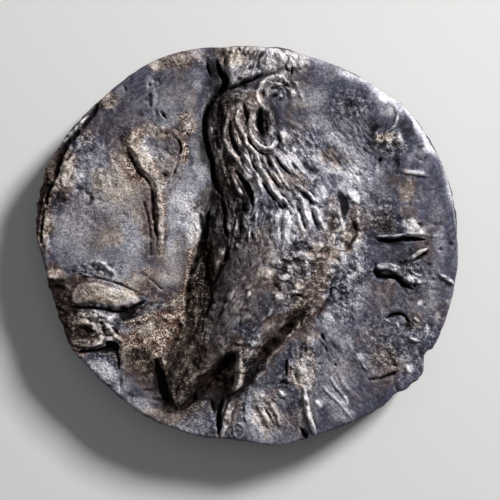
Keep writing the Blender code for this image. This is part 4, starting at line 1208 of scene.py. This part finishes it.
def texture(x, y):
    """The roughness of the face: grains, combed strands, soft dents and small pits."""
    height = waves(x, y, FIELD_SWELLS) + waves(x, y, FIELD_DENTS)
    coarse = roughness(x, y)
    height += scales(x, y) + (CRINKLE_LEAST + CRINKLE_ROUGH * coarse) * crinkle(x, y, CRINKLE)
    height += coarse * grain(x, y, ROUGH_GRAIN, FEW_LAYERS, ROUGH_FADE)
    crowds = np.maximum(waves(x, y, PIT_CROWDS) + PIT_SPREAD, 0.0)
    pits = np.maximum(waves(x, y, PIT_PLACES) - PIT_FROM, 0.0) * crowds
    return height - PIT_DEPTH * pits


def bird_body(x, y):
    """The bird's mass on its low margin: steep along its back, sloping off to the right of the breast."""
    right_of = smooth((x - BREAST_START[0]) / BREAST_REACH)
    below = smooth((y - BREAST_START[1]) / BREAST_REACH)
    edge = BODY_EDGE + BREAST_EDGE * (right_of * below) + HEAD_EDGE * patch(x, y, *HEAD_TOP)
    rise = BIRD_RISE / SHEET_UNIT
    low = MARGIN_SHARE * rise * plateau(x, y, MARGIN, MARGIN_EDGE)
    steep = BODY_SHARE * rise * plateau(x, y, BODY, edge)
    return low + steep + BIRD_CROWN / SHEET_UNIT * plateau(x, y, CROWN, CROWN_EDGE)


def face_height(sheet_x, sheet_y):
    """The struck face above the field, in sheet units."""
    x, y = wandering(sheet_x, sheet_y, *DIE_WANDER)
    x += waves(sheet_x, sheet_y, DIE_SWAY_X)
    y += waves(sheet_x, sheet_y, DIE_SWAY_Y)
    height = bird_body(x, y)
    for outline, edge, rise in AREAS:
        height += rise * plateau(x, y, outline, edge)
    for ridges, cuts in REGIONS:
        height += RIDGE_SHARE * strokes(x, y, ridges, RIDGE_FULLNESS) - strokes(x, y, cuts, CUT_FULLNESS)
    feathers = pellets(*wandering(x, y, *PELLET_WANDER))
    return height + feathers + uprights(x, y) + texture(x, y)


def underside_height(x, y):
    """The worn square punch of the underside, four sunk compartments between crossed bars."""
    across, down = turned(x - MIDDLE[0], y - MIDDLE[1], PUNCH_TURN)
    depth = PUNCH_DEPTH / SHEET_UNIT
    for way in (across, down):
        from_side = 0.5 * PUNCH_SIDE / SHEET_UNIT - np.abs(way)
        from_bar = np.abs(way) - 0.5 * PUNCH_BAR / SHEET_UNIT
        depth = depth * smooth(from_side / PUNCH_SLOPE) * smooth(from_bar / PUNCH_SLOPE)
    depth = depth * (1.0 - PUNCH_UNEVEN * (across > 0.0) - PUNCH_UNEVEN * (down > 0.0))
    return depth + REST_WEAR + grain(x, y, REST_GRAIN)


def outline_radius(bearing):
    """The blank's radius at a bearing, in sheet units."""
    path = curve(OUTLINE, closed=True) - MIDDLE
    bearings = np.arctan2(path[:, 1], path[:, 0])
    order = np.argsort(bearings)
    radii = np.hypot(path[:, 0], path[:, 1])
    radius = np.interp(bearing, bearings[order], radii[order], period=2 * np.pi)
    east, south = radius * np.cos(bearing), radius * np.sin(bearing)
    crumbled = CRUMBLE_LEAST + patch(east, south, *CRUMBLED_LEFT) + patch(east, south, *CRUMBLED_RIGHT)
    crumbs = grain(east, south, CRUMBLE_COARSE) + grain(east, south, CRUMBLE_FINE)
    return radius - OUTLINE_INSET + crumbled * crumbs


def round_grid(bm, cells, shrink=1.0):
    """A square grid pulled into the blank's outline: its vertices, sheet places, rings and depth in."""
    made = bmesh.ops.create_grid(bm, x_segments=cells, y_segments=cells, size=1.0)
    places = np.array([vert.co.xy for vert in made["verts"]])
    across, up = places[:, 0], places[:, 1]
    wide = np.abs(across) >= np.abs(up)
    longer = np.where(wide, across, up)
    shorter = np.where(wide, up, across)
    lean = np.pi / 4 * shorter / np.where(longer == 0.0, 1.0, longer)
    bearing = np.where(wide, lean, np.pi / 2 - lean)
    east, north = longer * np.cos(bearing), longer * np.sin(bearing)
    radius = outline_radius(np.arctan2(-north, east))
    x = MIDDLE[0] + shrink * radius * east
    y = MIDDLE[1] - shrink * radius * north
    return made["verts"], x, y, np.abs(longer), radius * (1.0 - np.abs(longer))


def real_place(x, y):
    """A place on the die sheet in metres, with y up."""
    return SHEET_UNIT * (x - MIDDLE[0]), SHEET_UNIT * (MIDDLE[1] - y)


def set_places(verts, x, y, height):
    """Move vertices from the sheet to their real places."""
    for vert, place_x, place_y, place_z in zip(verts, x, y, height):
        vert.co = (*real_place(place_x, place_y), SHEET_UNIT * place_z)


def set_shares(bm, verts, shares):
    """Write what the finish needs to know onto the vertices."""
    for name in ATTRIBUTES:
        layer = bm.verts.layers.float[name]
        for vert, share in zip(verts, shares[name]):
            vert[layer] = share


def streaks(x, y):
    """Where each place lies along and across its strongest patch of streaks, and how strong they are."""
    off_x, off_y = wandering(x, y, *STREAK_WANDER)
    places = np.zeros((3, x.size))
    strong = np.zeros(x.size)
    next_strong = np.zeros(x.size)
    for number, (*oval, turn, amount) in enumerate(COMBED):
        share = amount * patch(x, y, *oval)
        next_strong = np.maximum(next_strong, np.minimum(strong, share))
        along, across = turned(off_x, off_y, math.radians(turn))
        apart = np.full(x.shape, STREAK_STEP * number)
        here = np.array([along / STREAK_LENGTH, across / STREAK_WIDTH, apart])
        places = np.where(share > strong, here, places)
        strong = np.maximum(strong, share)
    return places.T, np.minimum(strong, STREAK_BORDER * (strong - next_strong))


def blurred(height, cells, reach):
    """A grid's heights, each one averaged with those around it."""
    table = height.reshape(cells + 1, cells + 1)
    for axis in (0, 1):
        margins = [(0, 0), (0, 0)]
        margins[axis] = (reach, reach)
        padded = np.pad(table, margins, mode="edge")
        total = np.zeros(table.shape)
        for start in range(2 * reach + 1):
            total += np.take(padded, range(start, start + cells + 1), axis=axis)
        table = total / (2 * reach + 1)
    return table.ravel()


def edge_drop(x, y, from_edge):
    """How the face falls away at its rim: a sloping facet, wide to the upper right, then a steep turn."""
    bearing = np.arctan2(y - MIDDLE[1], x - MIDDLE[0])
    facing = np.clip(np.cos(bearing - FACET_BEARING), 0.0, 1.0) ** FACET_FOCUS
    width = FACET_NARROW + (FACET_WIDE - FACET_NARROW) * facing
    width = width * (1.0 + waves(x, y, FACET_UNEVEN))
    facet = FACET_SLOPE * width * np.clip(1.0 - from_edge / width, 0.0, 1.0) ** FACET_BEND
    turn = EDGE_DROP * np.clip(1.0 - from_edge / EDGE_ROUNDING, 0.0, 1.0) ** EDGE_BEND
    return facet, turn


def face_tone_and_painted_light(x, y, facet):
    """How much darker (below 0) or paler the struck face is than its plain toning.

    This is partly its own toning and stains, and partly painted highlights and painted shadows.
    """
    # The facet's lip is painted paler as a highlight, most at the upper right where the light falls on it.
    lip_highlight = LIP_PAINTED_HIGHLIGHT * smooth(facet / LIP_DROP) * (LIP_LEAST + LIP_MORE * patch(x, y, *LIP_HIGHLIGHT_PATCH))
    tone_and_painted_light = TONE_SHARE * drift(x, y, TONE_AND_LIGHT_PATCHES, TONE_WANDER) + grain(x, y, TONE_GRAIN) + lip_highlight
    tone_and_painted_light += drift(x, y, TONE_AND_LIGHT_SPOTS, SPOT_WANDER)
    off_x, off_y = wandering(x, y, *SHADE_WANDER)
    for outline, edge, amount in SHADED:
        tone_and_painted_light += amount * plateau(off_x, off_y, outline, edge)
    return np.clip(tone_and_painted_light, *TONE_LIMITS)


def plain_shares(x, y, hollow):
    """What the finish needs to know away from the struck face: worn, blue-grey and brown by turns."""
    worn = smooth(grain(x, y, PLAIN_ROUGH) + PLAIN_ROUGH_SPREAD)
    crusted = smooth(grain(x, y, PLAIN_CRUST) + PLAIN_CRUST_SPREAD)
    return {"hollow": hollow,
            "crease": np.zeros(x.shape),
            "crust": PLAIN_CRUST_MOST * crusted,
            "rough": PLAIN_ROUGH_LEAST + PLAIN_ROUGH_MORE * worn,
            "tone_and_painted_light": PLAIN_TONE_SHIFT + grain(x, y, PLAIN_TONE),
            "warm": PLAIN_WARM_SHIFT + grain(x, y, PLAIN_WARM),
            "combed": np.zeros(x.shape)}


def struck_face(bm):
    """The upper face, rounded down to the girth all round, where its finish turns into the edge's."""
    verts, x, y, _, from_edge = round_grid(bm, FACE_CELLS)
    facet, turn = edge_drop(x, y, from_edge)
    relief = face_height(x, y) * smooth(from_edge / RELIEF_EDGE)
    height = FIELD_THICKNESS / SHEET_UNIT + relief - facet - turn
    set_places(verts, x, y, height)
    filled = np.maximum(relief, FILLED_FROM)
    streak_places, combed = streaks(x, y)
    shares = {"hollow": relief - blurred(blurred(filled, FACE_CELLS, BROAD_BLUR), FACE_CELLS, BROAD_BLUR),
              "crease": relief - blurred(filled, FACE_CELLS, NARROW_BLUR),
              "crust": np.clip(drift(x, y, CRUST_PATCHES, CRUST_WANDER), 0.0, 1.0),
              "rough": roughness(x, y) / ROUGH_MOST,
              "tone_and_painted_light": face_tone_and_painted_light(x, y, facet),
              "warm": np.clip(drift(x, y, WARMTH, WARM_WANDER), 0.0, 1.0),
              "combed": combed}
    plain = plain_shares(x + EDGE_SHIFT * height, y + EDGE_SHIFT * height, shares["hollow"])
    edge_share = smooth(1.0 - from_edge / EDGE_ROUNDING)
    mixed = {name: share + (plain[name] - share) * edge_share for name, share in shares.items()}
    set_shares(bm, verts, mixed)
    layer = bm.verts.layers.float_vector["streak_place"]
    for vert, place in zip(verts, streak_places):
        vert[layer] = place


def open_edges(bm):
    """The edges that only one face uses."""
    return [edge for edge in bm.edges if edge.is_boundary]


def wall(bm, shrink, level):
    """One more band of the edge, down to a level, with shallow dents."""
    made = bmesh.ops.extrude_edge_only(bm, edges=open_edges(bm))
    verts = [item for item in made["geom"] if isinstance(item, bmesh.types.BMVert)]
    places = np.array([vert.co.xy for vert in verts])
    down = EDGE_SHIFT * level / SHEET_UNIT
    x = MIDDLE[0] + places[:, 0] / SHEET_UNIT + down
    y = MIDDLE[1] - places[:, 1] / SHEET_UNIT + down
    dents = grain(x, y, WALL_DENTS)
    for vert, share in zip(verts, shrink + dents):
        vert.co = (vert.co.x * share, vert.co.y * share, level)
    set_shares(bm, verts, plain_shares(x, y, WALL_HOLLOW * dents))


def underside(bm):
    """The lower face: a flat ring and bars to rest on, round the sunk punch."""
    verts, x, y, ring, _ = round_grid(bm, BACK_CELLS, REST_SHRINK)
    lift = REST_LIFT * np.clip((ring - REST_RING) / (1.0 - REST_RING), 0.0, 1.0) ** 2
    depth = underside_height(x, y)
    set_places(verts, x, y, depth + lift)
    # The punch's sunk compartments count as hollows, which the finish darkens with painted shade and dirt.
    set_shares(bm, verts, plain_shares(x, y, blurred(depth, BACK_CELLS, BACK_BLUR) - depth))
    faces = list({face for vert in verts for face in vert.link_faces})
    bmesh.ops.reverse_faces(bm, faces=faces)


def placed(name, data):
    """An object with the given data, in the scene."""
    thing = bpy.data.objects.new(name, data)
    bpy.context.scene.collection.objects.link(thing)
    return thing


def coin_piece():
    """The whole coin as one closed piece."""
    bm = bmesh.new()
    for name in ATTRIBUTES:
        bm.verts.layers.float.new(name)
    bm.verts.layers.float_vector.new("streak_place")
    struck_face(bm)
    for shrink, level in WALL_BANDS:
        wall(bm, shrink, level * GIRTH_HEIGHT)
    underside(bm)
    bmesh.ops.bridge_loops(bm, edges=open_edges(bm))
    bmesh.ops.triangulate(bm, faces=bm.faces)
    mesh = bpy.data.meshes.new("struck_coin")
    bm.to_mesh(mesh)
    bm.free()
    mesh.shade_smooth()
    return placed("struck_coin", mesh)


def grain_mask_group():
    """A mask of scattered grains or patches: noise of a scale, cut between two levels."""
    group = bpy.data.node_groups.new("grain_mask", "ShaderNodeTree")
    group.interface.new_socket("Vector", in_out="INPUT", socket_type="NodeSocketVector")
    for label in ("Scale", "Detail", "From", "To"):
        group.interface.new_socket(label, in_out="INPUT", socket_type="NodeSocketFloat")
    group.interface.new_socket("Mask", in_out="OUTPUT", socket_type="NodeSocketFloat")
    given = group.nodes.new("NodeGroupInput")
    result = group.nodes.new("NodeGroupOutput")
    texture = group.nodes.new("ShaderNodeTexNoise")
    spread = group.nodes.new("ShaderNodeMapRange")
    spread.interpolation_type = "SMOOTHSTEP"
    for label in ("Vector", "Scale", "Detail"):
        group.links.new(given.outputs[label], texture.inputs[label])
    group.links.new(texture.outputs["Fac"], spread.inputs["Value"])
    group.links.new(given.outputs["From"], spread.inputs["From Min"])
    group.links.new(given.outputs["To"], spread.inputs["From Max"])
    group.links.new(spread.outputs["Result"], result.inputs["Mask"])
    return group


class Finish:
    """A material under construction, with short names for the nodes that it is mixed from."""

    def __init__(self, name, grain_mask):
        self.material = bpy.data.materials.new(name)
        self.material.use_nodes = True
        self.nodes = self.material.node_tree.nodes
        self.links = self.material.node_tree.links
        self.shader = self.nodes["Principled BSDF"]
        self.place = self.nodes.new("ShaderNodeTexCoord").outputs["Object"]
        self.grain_mask = grain_mask
        self.share = {name: self.attribute(name) for name in ATTRIBUTES}
        self.grain = {name: self.grains(kind) for name, kind in GRAINS.items()}

    def feed(self, socket, value):
        """Link a changing value to a socket, or set a constant on it."""
        if isinstance(value, bpy.types.NodeSocket):
            self.links.new(value, socket)
        else:
            socket.default_value = value

    def attribute(self, name, output="Fac"):
        """What the mesh says about each place under a name."""
        reader = self.nodes.new("ShaderNodeAttribute")
        reader.attribute_name = name
        return reader.outputs[output]

    def grains(self, kind, place=None):
        """A mask of grains of a kind, on the object's own places or on others."""
        scale, low, high, detail = kind
        mask = self.nodes.new("ShaderNodeGroup")
        mask.node_tree = self.grain_mask
        given = {"Vector": place or self.place, "Scale": scale, "Detail": detail, "From": low, "To": high}
        for label, value in given.items():
            self.feed(mask.inputs[label], value)
        return mask.outputs["Mask"]

    def veins(self, kind):
        """Thin lines where the grains of a kind are half there."""
        mask = self.grains(kind)
        return self.product(mask, VEIN_GAIN, self.worked("SUBTRACT", 1.0, mask))

    def spread(self, value, low, high, start=0.0, end=1.0):
        """A value eased from one share at the low level to another at the high level."""
        node = self.nodes.new("ShaderNodeMapRange")
        node.interpolation_type = "SMOOTHSTEP"
        given = {"Value": value, "From Min": low, "From Max": high, "To Min": start, "To Max": end}
        for label, number in given.items():
            self.feed(node.inputs[label], number)
        return node.outputs["Result"]

    def worked(self, operation, *values):
        """Several values worked into one by the same operation."""
        result = values[0]
        for value in values[1:]:
            node = self.nodes.new("ShaderNodeMath")
            node.operation = operation
            self.feed(node.inputs[0], result)
            self.feed(node.inputs[1], value)
            result = node.outputs["Value"]
        return result

    def product(self, *values):
        """Several values multiplied."""
        return self.worked("MULTIPLY", *values)

    def highest(self, *values):
        """The highest of several values."""
        return self.worked("MAXIMUM", *values)

    def mix(self, kind, share, under, over):
        """A mix of two colours or two plain values."""
        node = self.nodes.new("ShaderNodeMix")
        node.data_type = kind
        first, second, result = MIX_SOCKETS[kind]
        self.feed(node.inputs["Factor"], share)
        self.feed(node.inputs[first], under)
        self.feed(node.inputs[second], over)
        return node.outputs[result]

    def blend(self, share, under, over):
        """One colour over another."""
        return self.mix("RGBA", share, under, over)

    def level(self, share, low, high):
        """A value from low where the share is 0 to high where it is 1."""
        return self.mix("FLOAT", share, low, high)

    def bump(self, height, distance):
        """Give the shader a fine relief whose height of 1 is a distance in metres."""
        node = self.nodes.new("ShaderNodeBump")
        node.inputs["Distance"].default_value = distance
        self.feed(node.inputs["Height"], height)
        self.links.new(node.outputs["Normal"], self.shader.inputs["Normal"])


def toning_and_painted_light(finish, light, deep):
    """Blue-grey toning that turns brown by patches, paler or deeper by the tone of the place.

    The tone's paler and deeper patches are partly painted highlights and painted shade.
    """
    cool = finish.blend(finish.grain["broad"], SLATE, STEEL)
    brown = finish.blend(finish.grain["patchy"], BARK, TAUPE)
    colour = finish.blend(finish.share["warm"], cool, brown)
    tone_and_painted_light = finish.share["tone_and_painted_light"]
    uneven = finish.level(finish.grain["fine"], *PALE_BY_FINE)
    # The tone's pale and dark patches are painted in here, partly as highlights and shadows.
    colour = finish.blend(finish.product(finish.spread(tone_and_painted_light, *PALE_TONE), uneven), colour, light)
    return finish.blend(finish.product(finish.spread(tone_and_painted_light, *DEEP_TONE), DEEP_SHARE), colour, deep)


def fine_marks(finish, colour, light, deep, flecks_and_glints, streak, furrow):
    """The colour with light flecks, partly painted glints, streaks and veins, and with deep furrows,
    cracks and pits.
    """
    rough, combed = finish.share["rough"], finish.share["combed"]
    medium, patchy = finish.grain["medium"], finish.grain["patchy"]
    veins = finish.product(finish.veins(VEINS), finish.level(rough, *VEINS_BY_ROUGH))
    pits = finish.product(finish.grains(PITS), finish.level(rough, *PITS_BY_ROUGH))
    marks = [(flecks_and_glints, light),
             (finish.product(streak, combed, STREAK_SHARE), light),
             (finish.product(furrow, combed, FURROW_SHARE), deep),
             (finish.product(veins, finish.level(medium, *VEINS_BY_MEDIUM)), light),
             (finish.product(finish.veins(CRACKS), finish.level(medium, *CRACKS_BY_MEDIUM)), deep),
             (finish.product(pits, finish.level(patchy, *PITS_BY_PATCHY)), deep)]
    for mark, shade in marks:
        colour = finish.blend(mark, colour, shade)
    return colour


def tan_crust(finish):
    """The crust's colour, rust and sand with dark specks, and where it lies."""
    sharp, blotches = finish.grain["sharp"], finish.grain["blotches"]
    sandy = finish.product(finish.level(sharp, *SAND_BY_SHARP), finish.level(blotches, *SAND_BY_BLOTCHES))
    specks = finish.product(finish.level(blotches, *SPECKS_BY_BLOTCHES), finish.grains(SPECKS))
    colour = finish.blend(specks, finish.blend(sandy, RUST, SAND), EARTH_AND_SHADE_BROWN)
    area = finish.product(finish.spread(finish.share["crust"], *CRUST_AREA),
                          finish.level(finish.grain["medium"], *CRUST_BY_MEDIUM),
                          finish.spread(finish.share["tone_and_painted_light"], *CRUST_TONE))
    return colour, area


def worn_metal_and_highlights(finish):
    """Where the toning is worn off: on high places, and all over the palest patches, which are partly
    painted highlights such as the facet's lip.
    """
    high = finish.product(finish.spread(finish.share["hollow"], *WORN_HEIGHT),
                          finish.level(finish.grain["medium"], *WORN_BY_MEDIUM),
                          finish.spread(finish.share["tone_and_painted_light"], *WORN_TONE))
    # The palest patches go pearl all over: partly bare metal, partly painted highlight.
    bare_and_highlight = finish.product(finish.spread(finish.share["tone_and_painted_light"], *BARE_AND_HIGHLIGHT_TONE),
                          finish.level(finish.grain["fine"], *BARE_AND_HIGHLIGHT_BY_FINE))
    return finish.highest(high, bare_and_highlight)


def soot_and_painted_shade(finish, flecks_and_glints):
    """Where near black lies, partly soot and partly painted shade: in deep hollows and creases, and all
    over the darkest patches, which hold painted shadows.
    """
    soot_and_shade = finish.product(finish.spread(finish.share["tone_and_painted_light"], *SOOT_AND_SHADE_TONE),
                           finish.level(flecks_and_glints, *SOOT_AND_SHADE_BY_FLECKS))
    return finish.highest(finish.spread(finish.share["hollow"], *SOOT_AND_SHADE_HOLLOW),
                          finish.spread(finish.share["crease"], *SOOT_AND_SHADE_CREASE), soot_and_shade)


def grainy_relief(finish, streak, furrow, crust):
    """The relief that is too fine for the mesh: grains, combed streaks and sharp crust."""
    grains = finish.worked("ADD", finish.product(finish.grain["fine"], FINE_RELIEF),
                           finish.product(finish.grain["medium"], MEDIUM_RELIEF))
    grains = finish.product(grains, finish.level(finish.share["rough"], *RELIEF_BY_ROUGH))
    combed = finish.product(finish.worked("SUBTRACT", streak, furrow), finish.share["combed"])
    crusty = finish.product(finish.grain["sharp"], CRUST_RELIEF, crust)
    return finish.worked("ADD", grains, combed, crusty)


def toned_silver():
    """Blue-grey toning that turns brown and cream, with flecks, worn tops and tan crust.

    Flecks are partly painted glints, pale and dark patches partly painted highlights and shadows, and
    hollows are darkened by soot and painted shade.
    """
    finish = Finish("toned_silver", grain_mask_group())
    warm, hollow, rough = finish.share["warm"], finish.share["hollow"], finish.share["rough"]
    light = finish.blend(warm, FROST, CREAM)
    deep = finish.blend(warm, INK, UMBER)
    fine, medium = finish.grain["fine"], finish.grain["medium"]
    # Light flecks of paler metal, partly painted glints.
    flecks_and_glints = finish.product(fine, medium, finish.level(rough, *FLECKS_AND_GLINTS_BY_ROUGH))
    streak_place = finish.attribute("streak_place", "Vector")
    streak = finish.grains(STREAKS, streak_place)
    furrow = finish.grains(FURROWS, streak_place)
    colour = toning_and_painted_light(finish, light, deep)
    colour = fine_marks(finish, colour, light, deep, flecks_and_glints, streak, furrow)
    crust_colour, crust = tan_crust(finish)
    colour = finish.blend(crust, colour, crust_colour)
    # Worn tops go pearl, and so do the palest patches, which are partly painted highlights.
    colour = finish.blend(worn_metal_and_highlights(finish), colour, finish.blend(warm, PEARL, IVORY))
    # Hollows are darkened towards the deep colour: painted shade where the relief shades itself, and dark
    # deposit.
    colour = finish.blend(finish.product(finish.spread(hollow, *HOLLOW_SHADE_AND_DEPOSIT), HOLLOW_SHARE), colour, deep)
    # Near black goes in deep hollows, creases and the darkest patches: partly soot, partly painted shade.
    soot_and_shade = soot_and_painted_shade(finish, flecks_and_glints)
    colour = finish.blend(soot_and_shade, colour, finish.blend(warm, SHADE_AND_SOOT_BLACK, EARTH_AND_SHADE_BROWN))
    dull = finish.highest(soot_and_shade, crust)
    finish.feed(finish.shader.inputs["Base Color"], colour)
    finish.feed(finish.shader.inputs["Metallic"], finish.level(dull, *METALLIC_BY_DULL))
    finish.feed(finish.shader.inputs["Roughness"], finish.level(dull, *ROUGHNESS_BY_DULL))
    finish.shader.inputs["Specular IOR Level"].default_value = SHEEN
    finish.bump(grainy_relief(finish, streak, furrow, crust), BUMP_HEIGHT)
    return finish.material


def area_light(name, place, side, watts):
    """A soft square light that faces the coin."""
    light = bpy.data.lights.new(name, "AREA")
    light.size = side
    light.energy = watts
    lamp = placed(name, light)
    lamp.location = place
    direction = -lamp.location.normalized()
    lamp.rotation_euler = direction.to_track_quat("-Z", "Y").to_euler()


def pale_floor():
    """A wide pale floor under the coin."""
    bm = bmesh.new()
    bmesh.ops.create_grid(bm, x_segments=1, y_segments=1, size=FLOOR_REACH)
    mesh = bpy.data.meshes.new("floor")
    bm.to_mesh(mesh)
    bm.free()
    material = bpy.data.materials.new("pale_floor")
    material.use_nodes = True
    shader = material.node_tree.nodes["Principled BSDF"]
    shader.inputs["Base Color"].default_value = FLOOR_COLOUR
    shader.inputs["Roughness"].default_value = FLOOR_ROUGHNESS
    mesh.materials.append(material)
    return placed("floor", mesh)


def studio():
    """A key light low at the upper right, a soft light from above and a dim sky."""
    area_light("key_light", KEY_PLACE, KEY_SIDE, KEY_WATTS)
    area_light("soft_light", SOFT_PLACE, SOFT_SIDE, SOFT_WATTS)
    bpy.context.scene.view_settings.view_transform = "Standard"
    world = bpy.data.worlds.new("studio")
    bpy.context.scene.world = world
    world.use_nodes = True
    sky = world.node_tree.nodes["Background"]
    sky.inputs["Color"].default_value = SKY_COLOUR
    sky.inputs["Strength"].default_value = SKY_STRENGTH


def camera():
    """Straight down on the lying coin, framed as wide as the die sheet."""
    view = bpy.data.cameras.new("camera")
    view.lens = LENS
    view.clip_start = VIEW_START
    distance = SHEET_SIDE * SHEET_UNIT * view.lens / view.sensor_width
    watcher = placed("camera", view)
    watcher.location = (*real_place(0.5 * SHEET_SIDE, 0.5 * SHEET_SIDE), FIELD_THICKNESS + distance)
    bpy.context.scene.camera = watcher


coin = coin_piece()
coin.data.materials.append(toned_silver())
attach(coin, "root")
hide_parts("coin")
floor = pale_floor()
studio()
camera()
